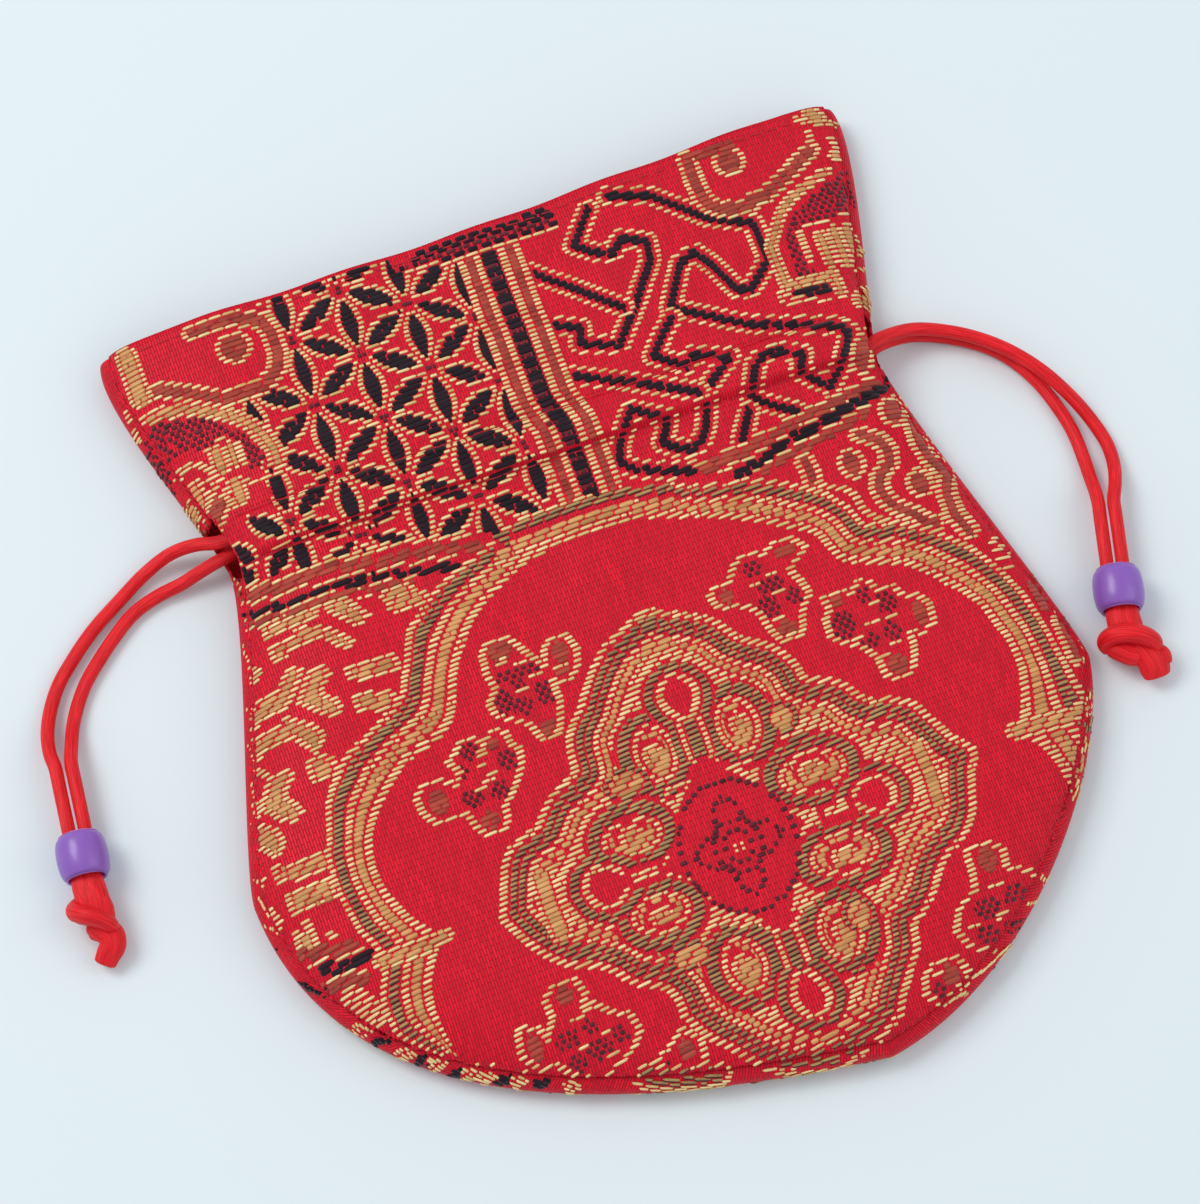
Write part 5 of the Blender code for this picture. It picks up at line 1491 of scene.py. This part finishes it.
def on_front(x, y, way_x, way_y):
    """Places on the front, the directions of threads that lie there, the cloth's normals and its tilt."""
    tilt_x = (front_height(x + SLOPE_STEP, y) - front_height(x - SLOPE_STEP, y)) / (2 * SLOPE_STEP)
    tilt_y = (front_height(x, y + SLOPE_STEP) - front_height(x, y - SLOPE_STEP)) / (2 * SLOPE_STEP)
    normal = np.column_stack((-tilt_x, -tilt_y, np.ones(len(x))))
    along = np.column_stack((way_x, way_y, tilt_x * way_x + tilt_y * way_y))
    normal /= np.linalg.norm(normal, axis=1, keepdims=True)
    along /= np.linalg.norm(along, axis=1, keepdims=True)
    return np.column_stack((x, y, front_height(x, y))), along, normal, tilt_x


columns = np.arange(-0.0640, 0.0640, TINY)
cells = np.arange(len(columns))
seam_ring = [tuple(p) for p in SEAM]
by_colour = {colour: [] for colour in YARNS}
for row, y_row in enumerate(np.arange(-0.0700, 0.0700, ROW_PITCH)):
    y = np.full(len(columns), y_row) + 0.00012 * np.sin(columns / 0.011 + row * 0.7)
    cloth_here = inside(seam_ring, columns, y) & (y < mouth_line(columns) - FRONT_EDGE)
    cloth_here &= read_grid(SEAM_GRID, columns, y) > FRONT_EDGE
    if not cloth_here.any():
        continue
    z = front_height(columns, y)
    codes = np.where(cloth_here, read_paper(*on_paper(columns, y, z)), 255)
    for a, b, colour in floats_of_row(codes, row):
        middle = (a + b) / 2
        place = np.interp(middle, cells, columns), np.interp(middle, cells, y)
        by_colour[colour].append((*place, (b - a) * TINY - TIE_GAP))
for colour, found in by_colour.items():
    x, y, lengths = np.array(found).T
    slant = SLANT + SLANT_CHANGE * y
    places, along, normal, tilt_x = on_front(x, y, np.cos(slant), np.sin(slant))
    lay("front", colour, places, along, normal, lengths * np.sqrt(1 + np.clip(tilt_x, -3, 3) ** 2))
print("floats on the front:", {YARNS[c][0]: len(f) for c, f in by_colour.items()})

# %% [markdown]
# Rows run straight in the flat cloth of the back. Outside the inner edge of the roll, the distance to
# that edge is wound up round the roll.

# %% Floats of the back and its rolled edge
FLOOR_EDGE = OUTLINE + INWARD * ROLL_RADIUS
edge_fine = spaced(FLOOR_EDGE, np.linspace(0, 1, 900))
line_fine = spaced(OUTLINE, np.linspace(0, 1, 900))
inward_fine = (edge_fine - line_fine) / np.linalg.norm(edge_fine - line_fine, axis=1, keepdims=True)
top_fine = np.array([top_angle(y) for y in line_fine[:, 1]])
floor_ring = [tuple(p) for p in FLOOR_EDGE]
BARE_ANGLE = 0.30  # the roll stays bare this far from the seam, in radians


def back_place(x, y):
    """Place, normal and weft direction of flat points of the back, and which of them are cloth."""
    flat_points = np.column_stack((x, y))
    in_floor = inside(floor_ring, x, y)
    gap, at = nearest(flat_points, edge_fine)
    gap = np.where(in_floor, 0, gap)
    angle = -math.pi / 2 + gap / ROLL_RADIUS
    inward = inward_fine[at]
    foot = np.where(in_floor[:, None], flat_points, edge_fine[at] - inward * ROLL_RADIUS)
    reach = np.where(in_floor, 0, ROLL_RADIUS * (1 - np.cos(angle)))
    plan = foot + inward * reach[:, None]
    height = np.where(in_floor, CLOTH_LIFT, CLOTH_LIFT + (ROLL_RADIUS - CLOTH_LIFT / 2) * (1 + np.sin(angle)))
    normal = np.column_stack((-inward * np.cos(angle)[:, None], np.sin(angle)))
    up = np.column_stack((inward * np.sin(angle)[:, None], np.cos(angle)))
    tangent = np.column_stack((-inward[:, 1], inward[:, 0], np.zeros(len(x))))
    weft = np.array((math.cos(SLANT), math.sin(SLANT)))
    along = tangent * (tangent[:, :2] @ weft)[:, None] - up * (inward @ weft)[:, None]
    along = np.where(in_floor[:, None], np.array((*weft, 0.0)), along)
    straight_mouth = MOUTH_Y - MOUTH_RISE * (0.5 - x / MOUTH_WIDTH) - FRONT_EDGE
    on_roll = (angle < top_fine[at] - BARE_ANGLE) & (at > 1) & (at < len(edge_fine) - 2)
    is_cloth = in_floor | on_roll
    is_cloth &= y < straight_mouth
    return np.column_stack((plan, height)), normal, along, is_cloth


by_colour = {colour: [] for colour in YARNS}
BACK_SHIFT = 4.0  # mm, how far the mirrored pattern lies up the back
SEEN_SHARE = 0.8
flat_columns = np.arange(-0.0690, 0.0690, TINY)
for row, y_row in enumerate(np.arange(-0.0745, 0.0700, ROW_PITCH)):
    y = np.full(len(flat_columns), y_row)
    place, _, _, is_cloth = back_place(flat_columns, y)
    if not is_cloth.any():
        continue
    # High on the roll the camera sees the paper's own pattern, and below that lies its mirror image.
    seen = place[:, 2] > ROLL_RADIUS * SEEN_SHARE
    hidden_codes = read_paper(-flat_columns / MM, y / MM + BACK_SHIFT)
    codes = np.where(seen, read_paper(*on_paper(*place.T)), hidden_codes)
    for a, b, colour in floats_of_row(np.where(is_cloth, codes, 255), row):
        by_colour[colour].append((int((a + b) / 2), y_row, (b - a) * TINY - TIE_GAP))
for colour, found in by_colour.items():
    at, y, lengths = (np.array(values) for values in zip(*found))
    place, normal, along, _ = back_place(flat_columns[at], y)
    lay("back", colour, place, along, normal, lengths)
print("floats on the back:", {YARNS[c][0]: len(f) for c, f in by_colour.items()})

# %% [markdown]
# One float is a short flat tube: four rings of five points, thin at both ends, where the thread dives
# under the warp. Geometry Nodes sets a copy on each point of a cloud, turned and sized by the
# attributes the point carries, and makes the copies real. The tone goes along as an attribute, and
# the material uses it to vary the threads.

# %% The float and its node tree
FLOAT_RINGS = ((-0.5, 0.45, -0.25), (-0.34, 0.96, 0.20), (0.34, 0.96, 0.20), (0.5, 0.45, -0.25))
FLOAT_SIDES = 5
FLOAT_HEIGHT = 0.00026


def float_mesh():
    """One float of unit length and width, and of a real height."""
    verts = []
    for along, wide, lift in FLOAT_RINGS:
        for k in range(FLOAT_SIDES):
            angle = 2 * math.pi * (k + 0.5) / FLOAT_SIDES
            across, up = 0.5 * wide * math.cos(angle), 0.5 * wide * math.sin(angle)
            verts.append((along, across, FLOAT_HEIGHT * (lift + up)))
    faces = []
    for ring in range(len(FLOAT_RINGS) - 1):
        for k in range(FLOAT_SIDES):
            a, b = ring * FLOAT_SIDES + k, ring * FLOAT_SIDES + (k + 1) % FLOAT_SIDES
            faces.append((a, a + FLOAT_SIDES, b + FLOAT_SIDES, b))
    last = (len(FLOAT_RINGS) - 1) * FLOAT_SIDES
    faces += [tuple(range(FLOAT_SIDES)), tuple(last + k for k in range(FLOAT_SIDES))[::-1]]
    mesh = bpy.data.meshes.new("float")
    mesh.from_pydata(verts, [], faces)
    mesh.shade_smooth()
    return mesh


float_object = bpy.data.objects.new("float_pattern", float_mesh())


def thread_tree():
    """Copies of one float on the points of a cloud."""
    tree = bpy.data.node_groups.new("lay floats", "GeometryNodeTree")
    for name, kind in (("Cloud", "Geometry"), ("Float", "Object"), ("Yarn", "Material")):
        tree.interface.new_socket(name, in_out="INPUT", socket_type="NodeSocket" + kind)
    tree.interface.new_socket("Threads", in_out="OUTPUT", socket_type="NodeSocketGeometry")
    given = add(tree, "NodeGroupInput").outputs
    shape = add(tree, "GeometryNodeObjectInfo", None, {"Object": given["Float"]})
    turn, size = (
        add(tree, "GeometryNodeInputNamedAttribute", {"data_type": "FLOAT_VECTOR"}, {"Name": name})
        for name in ("turn", "size")
    )
    turned = add(tree, "FunctionNodeEulerToRotation", None, {"Euler": turn.outputs["Attribute"]})
    copies = add(
        tree, "GeometryNodeInstanceOnPoints", None,
        {"Points": given["Cloud"], "Instance": shape.outputs["Geometry"],
         "Rotation": turned.outputs["Rotation"], "Scale": size.outputs["Attribute"]},
    )
    real = add(tree, "GeometryNodeRealizeInstances", None, {"Geometry": copies.outputs["Instances"]})
    painted = add(
        tree, "GeometryNodeSetMaterial", None,
        {"Geometry": real.outputs["Geometry"], "Material": given["Yarn"]},
    )
    out = add(tree, "NodeGroupOutput")
    tree.links.new(painted.outputs["Geometry"], out.inputs["Threads"])
    return tree


lay_floats = thread_tree()


def thread_object(name, table, material):
    """The realised threads of one colour on one panel."""
    mesh = bpy.data.meshes.new(name + "_cloud")
    mesh.from_pydata([tuple(row[:3]) for row in table], [], [])
    for key, values in (("turn", table[:, 3:6]), ("size", table[:, 6:9])):
        mesh.attributes.new(key, "FLOAT_VECTOR", "POINT").data.foreach_set(
            "vector", values.astype(np.float32).ravel()
        )
    tone = mesh.attributes.new("tone", "FLOAT", "POINT")
    tone.data.foreach_set("value", table[:, 9].astype(np.float32))
    obj = bpy.data.objects.new(name, mesh)
    bpy.context.scene.collection.objects.link(obj)
    modifier = obj.modifiers.new("floats", "NODES")
    modifier.node_group = lay_floats
    sockets = {item.name: item.identifier for item in lay_floats.interface.items_tree}
    modifier[sockets["Float"]] = float_object
    modifier[sockets["Yarn"]] = material
    return apply_modifiers(obj)


# %% [markdown]
# The pattern wefts are flat rayon threads, and the gold one is a film thread: a narrow strip of
# metallised film round a yarn, which gleams in places as it turns. Each has a base colour and a darker
# one. The darker one comes in with a tone that changes a little from float to float, and in fine
# streaks along the thread as painted shade between its filaments.

# %% Yarn materials


def yarn_material(name, light, dark_tone_and_shade, roughness, metallic, specular):
    material, tree, shader = new_material(
        name, roughness, Metallic=metallic, Specular_IOR_Level=specular, Sheen_Weight=0.1
    )
    tone = add(tree, "ShaderNodeAttribute", {"attribute_name": "tone"})
    place = add(tree, "ShaderNodeTexCoord")
    stretched = add(
        tree, "ShaderNodeMapping", None, {"Vector": place.outputs["Object"], "Scale": (900.0, 9000.0, 9000.0)}
    )
    filaments = add(
        tree, "ShaderNodeTexNoise", None, {"Vector": stretched.outputs["Vector"], "Scale": 1.0, "Detail": 1.0}
    )
    # Tone and filament streaks mix in the darker colour: a random tone from float to float, and painted shade
    # between filaments.
    sum_of_both = add(tree, "ShaderNodeMath", {"operation": "ADD"})
    tree.links.new(tone.outputs["Fac"], sum_of_both.inputs[0])
    tree.links.new(filaments.outputs["Fac"], sum_of_both.inputs[1])
    share = add(
        tree, "ShaderNodeMapRange", None,
        {"Value": sum_of_both.outputs["Value"], "From Min": 0.65, "From Max": 1.25},
    )
    tree.links.new(
        mix_colour(tree, share.outputs["Result"], linear(dark_tone_and_shade), linear(light)), shader.inputs["Base Color"]
    )
    return material


YARN_MATERIALS = {
    "gold": yarn_material("gold film thread", "#F4DE9E", "#CDA65C", 0.4, 0.12, 0.45),
    "tan": yarn_material("tan rayon thread", "#DCA462", "#B67A42", 0.5, 0.0, 0.4),
    "rust": yarn_material("rust rayon thread", "#B4442F", "#8A2A1E", 0.55, 0.0, 0.3),
    "olive": yarn_material("olive rayon thread", "#B69858", "#84643A", 0.5, 0.0, 0.4),
    "black": yarn_material("black rayon thread", "#24131E", "#12080F", 0.6, 0.0, 0.15),
    # Dark red serves for the real dark red threads and for the painted shade lines beside the olive floats.
    "dark_red": yarn_material("dark red rayon thread and painted shade", "#641A28", "#380C16", 0.55, 0.0, 0.25),
}

# %% [markdown]
# The pouch is sewn with a thin red polyester thread: two lines of running stitches hold the channel,
# one holds the hem of the mouth, and slip stitches cross the seam where the front meets the rolled edge.

# %% Sewing thread
STITCH_PITCH, STITCH_LENGTH, SEWING_WIDTH, MOUTH_HEM = 0.0026, 0.0019, 0.24, 0.0017
SLIP_PITCH, SLIP_LENGTH, SLIP_SHARE = 0.0021, 0.0009, 0.35  # the share lies inside the seam
LINE_END = 0.003  # the lines of stitches end this far from the seam
sewing_material = yarn_material("red polyester sewing thread", "#C81428", "#8E0A1A", 0.5, 0.0, 0.3)


def sewn(x, y, way_x, way_y, length):
    """Stitches on the front at these places, along these directions."""
    places, along, normal, _ = on_front(x, y, way_x, way_y)
    # Length, width and rise of each stitch, and its tone.
    rest = np.tile((length, SEWING_WIDTH * MM, 0.8, 0.5), (len(x), 1))
    return np.column_stack((places, turns(along, normal), rest))


stitches = []
for line in (STITCH_LOW, STITCH_HIGH, None):
    level = MOUTH_Y if line is None else line
    left, right = (side_x(SEAM, level - LINE_END, sign) for sign in (-1, 1))
    x = np.arange(left + LINE_END, right - LINE_END, STITCH_PITCH)
    y = mouth_line(x) - MOUTH_HEM if line is None else np.full(len(x), line)
    stitches.append(sewn(x, y, np.ones(len(x)), np.zeros(len(x)), STITCH_LENGTH))
below = SEAM[SEAM[:, 1] < JOIN_Y]
ring = spaced(below, np.arange(0, 1, SLIP_PITCH / path_length(below)))
_, at = nearest(ring, OUTLINE)
ring = ring + INWARD[at] * SLIP_SHARE * SLIP_LENGTH
stitches.append(sewn(ring[:, 0], ring[:, 1], INWARD[at, 0], INWARD[at, 1], SLIP_LENGTH))

# %% [markdown]
# The floats of one colour on one panel become one piece, and so do all the stitches.

# %% Lay the threads
threads = {}
for (face, name), rows in laid.items():
    obj = thread_object(f"threads_{name}_{face}", np.concatenate(rows), YARN_MATERIALS[name])
    threads[face, name] = obj
    print(obj.name, "has", len(obj.data.polygons), "faces")

threads["front", "sewing"] = thread_object(
    "threads_sewing_front", np.concatenate(stitches), sewing_material
)

# %% [markdown]
# The knot is an overhand knot of the doubled cord, drawn tight. The two strands are pressed into one
# flat band, so each stretch of the knot is one swept band with a shallow groove along its middle: the
# neck that fills the bead's hole, the turn that crosses over it, the lobe under the turn, and the tail.

# %% Knots
# Each row is a point of a band, in mm: across, along and up from the bead's end, width and thickness.
KNOT_BANDS = {
    "left": (
        ((-0.1, -3.4, 0.0, 4.2, 3.2), (-0.1, -0.6, 0.1, 4.4, 3.4), (0.0, 1.4, 0.2, 4.7, 3.5),
         (0.2, 3.2, 0.4, 4.7, 3.5), (0.3, 5.0, 0.2, 4.2, 3.2), (0.2, 6.4, -0.6, 3.6, 3.0)),
        ((1.9, 2.6, -1.4, 2.4, 2.2), (0.2, 2.4, -2.0, 2.8, 2.4), (-1.7, 3.3, -1.4, 3.1, 2.5),
         (-2.3, 4.6, 0.2, 3.4, 2.8), (-1.3, 5.5, 1.3, 3.5, 2.8), (0.3, 6.4, 1.5, 3.4, 2.7),
         (1.5, 7.2, 0.5, 3.2, 2.6), (1.7, 7.4, -1.0, 2.6, 2.3)),
        ((1.2, 3.0, 0.3, 2.4, 2.8), (1.6, 4.8, 0.3, 2.5, 2.9), (1.4, 6.4, 0.0, 2.6, 2.8),
         (0.2, 7.6, -0.8, 3.0, 2.7), (-1.0, 7.0, -1.2, 2.8, 2.3)),
        ((-0.9, 6.2, -1.0, 3.0, 2.7), (0.5, 7.4, -0.6, 3.7, 2.9), (1.6, 8.7, -0.8, 3.9, 3.0),
         (1.5, 9.9, -1.1, 3.8, 2.9), (0.6, 11.0, -1.6, 3.5, 2.7), (-0.3, 12.2, -2.1, 3.1, 2.3)),
    ),
    "right": (
        ((0.1, -3.4, 0.0, 4.2, 3.2), (0.1, -0.6, 0.1, 4.7, 3.4), (0.1, 1.2, 0.2, 5.0, 3.4),
         (0.3, 2.6, 0.0, 5.1, 3.4), (0.6, 4.0, -0.6, 4.6, 3.2)),
        ((-1.9, 5.2, -1.5, 2.8, 2.4), (-2.5, 4.3, -0.4, 3.4, 2.8), (-1.6, 3.9, 1.0, 3.9, 3.0),
         (0.3, 4.0, 1.7, 4.1, 3.1), (2.3, 4.5, 1.6, 4.0, 3.0), (3.7, 5.2, 0.4, 3.4, 2.8),
         (3.7, 5.9, -1.0, 2.8, 2.4)),
        ((-2.0, 4.8, -1.0, 3.2, 2.8), (-0.6, 5.8, -0.4, 3.6, 3.0), (0.8, 6.5, -0.4, 3.6, 3.0),
         (2.3, 6.4, -1.0, 3.2, 2.6)),
        ((1.2, 4.6, -0.4, 3.4, 2.8), (2.4, 6.0, -0.2, 3.9, 3.0), (3.3, 7.4, -0.6, 4.4, 3.1),
         (3.9, 8.6, -1.2, 4.6, 2.9), (4.2, 9.8, -1.9, 4.0, 2.4)),
        ((3.7, 5.8, -1.0, 2.4, 2.4), (5.0, 6.9, -0.8, 2.8, 2.6), (5.3, 8.2, -1.3, 2.4, 2.3)),
    ),
}
BAND_GROOVE, GROOVE_WIDTH, BAND_SIDES = 0.10, 0.22, 24
BAND_FIBRES = (16.0, 9.0)  # across the band and through its thickness
BAND_CLOSES = (0.72, 0.9, 0.97, 1.0)  # size of the first and last rings, from the end inwards


def band_rings(rows, place):
    """A closed band along rows of a path, with its width and thickness at each."""
    route = smooth_route(np.array(rows) * MM, 12)
    _, sides, ups = carried_frame(np.array([place(p) for p in route[:, :3]]))
    angles = np.linspace(0, 2 * math.pi, BAND_SIDES, endpoint=False)
    groove = 1 - BAND_GROOVE * np.exp(-((np.cos(angles) / GROOVE_WIDTH) ** 2))
    length = lengths_along(route[:, :3])
    verts, fibres = [], []
    for step, (row, side, up) in enumerate(zip(route, sides, ups)):
        middle = place(row[:3])
        closing = min(step, len(route) - 1 - step)
        shrink = BAND_CLOSES[min(closing, len(BAND_CLOSES) - 1)]
        for angle, dip in zip(angles, groove):
            across = side * (0.5 * row[3] * shrink * math.cos(angle))
            verts.append(middle + across + up * (0.5 * row[4] * shrink * dip * math.sin(angle)))
            around = math.cos(angle) * BAND_FIBRES[0], math.sin(angle) * BAND_FIBRES[1]
            fibres.append((*around, length[step] * FIBRE_PITCH))
    return verts, ring_faces(len(route), len(angles)), fibres


knots = {}
for side in ("left", "right"):
    middle, along = BEADS[side]
    across = Vector((-along.y, along.x, 0))
    start = middle + along * (BEAD_LENGTH / 2)

    def place(local):
        return np.array(start + across * local[0] + along * local[1] + Vector((0, 0, local[2])))

    verts, faces, fibres = [], [], []
    for rows in KNOT_BANDS[side]:
        more, quads, around_cord = band_rings(rows, place)
        faces += [tuple(v + len(verts) for v in quad) for quad in quads]
        verts += more
        fibres += around_cord
    knots[side] = mesh_object(f"knot_{side}_cord", verts, faces, satin, "around", fibres)
    lowest = round(min(v[2] for v in verts) / MM, 2)
    print(f"knot_{side}_cord:", len(faces), "faces, lowest", lowest, "mm")

# %% [markdown]
# The beads are moulded in a purple acrylic that is a little milky. Light enters the wall and comes out
# softened, which the shader gives with some subsurface scattering under a faintly glossy skin.

# %% Beads
BEAD_PURPLE = "#8A5BB5"
acrylic, tree, shader = new_material(
    "moulded purple acrylic", 0.34, Subsurface_Weight=0.4, Subsurface_Scale=0.002, Coat_Weight=0.12
)
shader.inputs["Base Color"].default_value = linear(BEAD_PURPLE)
shader.inputs["Subsurface Radius"].default_value = (0.8, 0.4, 1.0)

half, bore = BEAD_LENGTH / 2, BEAD_BORE / 2
end, belly = BEAD_END_DIAMETER / 2 - BEAD_LIP, BEAD_DIAMETER / 2


def lip(sign):
    """The rounded edge of the hole, from the hole's wall out to the bead's end."""
    return [
        (bore + BEAD_LIP * (1 - math.sin(a)), sign * (half - BEAD_LIP * (1 - math.cos(a))))
        for a in np.radians((90, 67.5, 45, 22.5, 0))
    ]


BARREL_FULLNESS = 0.7  # 1 is a plain oval, and less is fuller
barrel = []
for angle in np.radians(np.linspace(90, -90, 25)):
    radius = end + (belly - end) * max(0.0, math.cos(angle)) ** BARREL_FULLNESS
    barrel.append((radius, (half - BEAD_LIP * 0.6) * math.sin(angle)))
profile = lip(1) + barrel + lip(-1)[::-1]
BEAD_SIDES = 64
beads = {}
for side in ("left", "right"):
    middle, along = BEADS[side]
    across = along.cross(Vector((0, 0, 1)))
    verts = []
    for angle in np.linspace(0, 2 * math.pi, BEAD_SIDES, endpoint=False):
        outward = across * math.cos(angle) + Vector((0, 0, 1)) * math.sin(angle)
        verts += [middle - along * height + outward * radius for radius, height in profile]
    n = len(profile)
    faces = []
    for a in range(BEAD_SIDES):
        here, there = a * n, (a + 1) % BEAD_SIDES * n
        faces += [(here + k, here + (k + 1) % n, there + (k + 1) % n, there + k) for k in range(n)]
    beads[side] = mesh_object(f"bead_{side}_moulded", verts, faces, acrylic)
print("bead profile:", len(profile), "points")

# %% [markdown]
# The table is a plain, nearly white sheet with a cool tint, and the light is soft: one broad lamp from
# above left, a fainter one opposite, and a pale sky.

# %% Floor and lights
floor_material, tree, shader = new_material("pale table", 0.9, Specular_IOR_Level=0.1)
shader.inputs["Base Color"].default_value = linear("#DEE9EA")
floor_corners = [(-2, -2, 0), (2, -2, 0), (2, 2, 0), (-2, 2, 0)]
floor = mesh_object("floor", floor_corners, [(0, 1, 2, 3)], floor_material)

world = bpy.data.worlds.new("soft sky")
bpy.context.scene.world = world
world.use_nodes = True
sky = world.node_tree.nodes["Background"].inputs
sky["Color"].default_value, sky["Strength"].default_value = linear("#F4F7FF"), 0.68

for name, place, size, power in (
    ("key", (-0.55, 0.50, 0.95), 0.55, 6.2),
    ("fill", (0.80, -0.35, 0.80), 0.80, 2.4),
):
    lamp_data = bpy.data.lights.new(name, "AREA")
    lamp_data.size = size
    lamp_data.energy = power
    lamp = bpy.data.objects.new(name, lamp_data)
    lamp.location = place
    lamp.rotation_euler = Vector(place).to_track_quat("Z", "Y").to_euler()
    bpy.context.scene.collection.objects.link(lamp)
bpy.context.scene.view_settings.view_transform = "Standard"

# %% [markdown]
# Each piece is tied to the frame: the body it moves with, and the frame's node it stands for, which is
# hidden. The cords' lengths and the outline's width and height are worked out as well.


def tie(obj, body, node):
    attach(obj, body)
    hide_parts(node)


for piece in (front, front_hem):
    tie(piece, "pouch", "front_panel")
for piece in (back_cloth, back_hem):
    tie(piece, "pouch", "back_panel")
for (face, name), obj in threads.items():
    tie(obj, "pouch", f"{face}_panel")
for side in ("left", "right"):
    tie(hidden_cords[side], "pouch", f"drawcord_{side}")
    tie(knots[side], "pouch", f"knot_{side}")
    tie(beads[side], f"{side}_bead", f"bead_{side}")
    for where in STRAND_NAMES:
        obj, points = free_strands[f"cord_{side}_{where}"]
        tie(obj, "pouch", f"drawcord_{side}")
        path_length(points)

# Each panel is a single sheet of brocade in the pouch's outline, and its hem goes with it. Only the outline's
# width and height and the list of what each panel rests on are worked out here.
wide, tall = (float(side) for side in np.ptp(OUTLINE, axis=0))
for piece, rests_on, hem in ((front, ["back_panel"], front_hem), (back_cloth, [], back_hem)):
    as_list(rests_on)
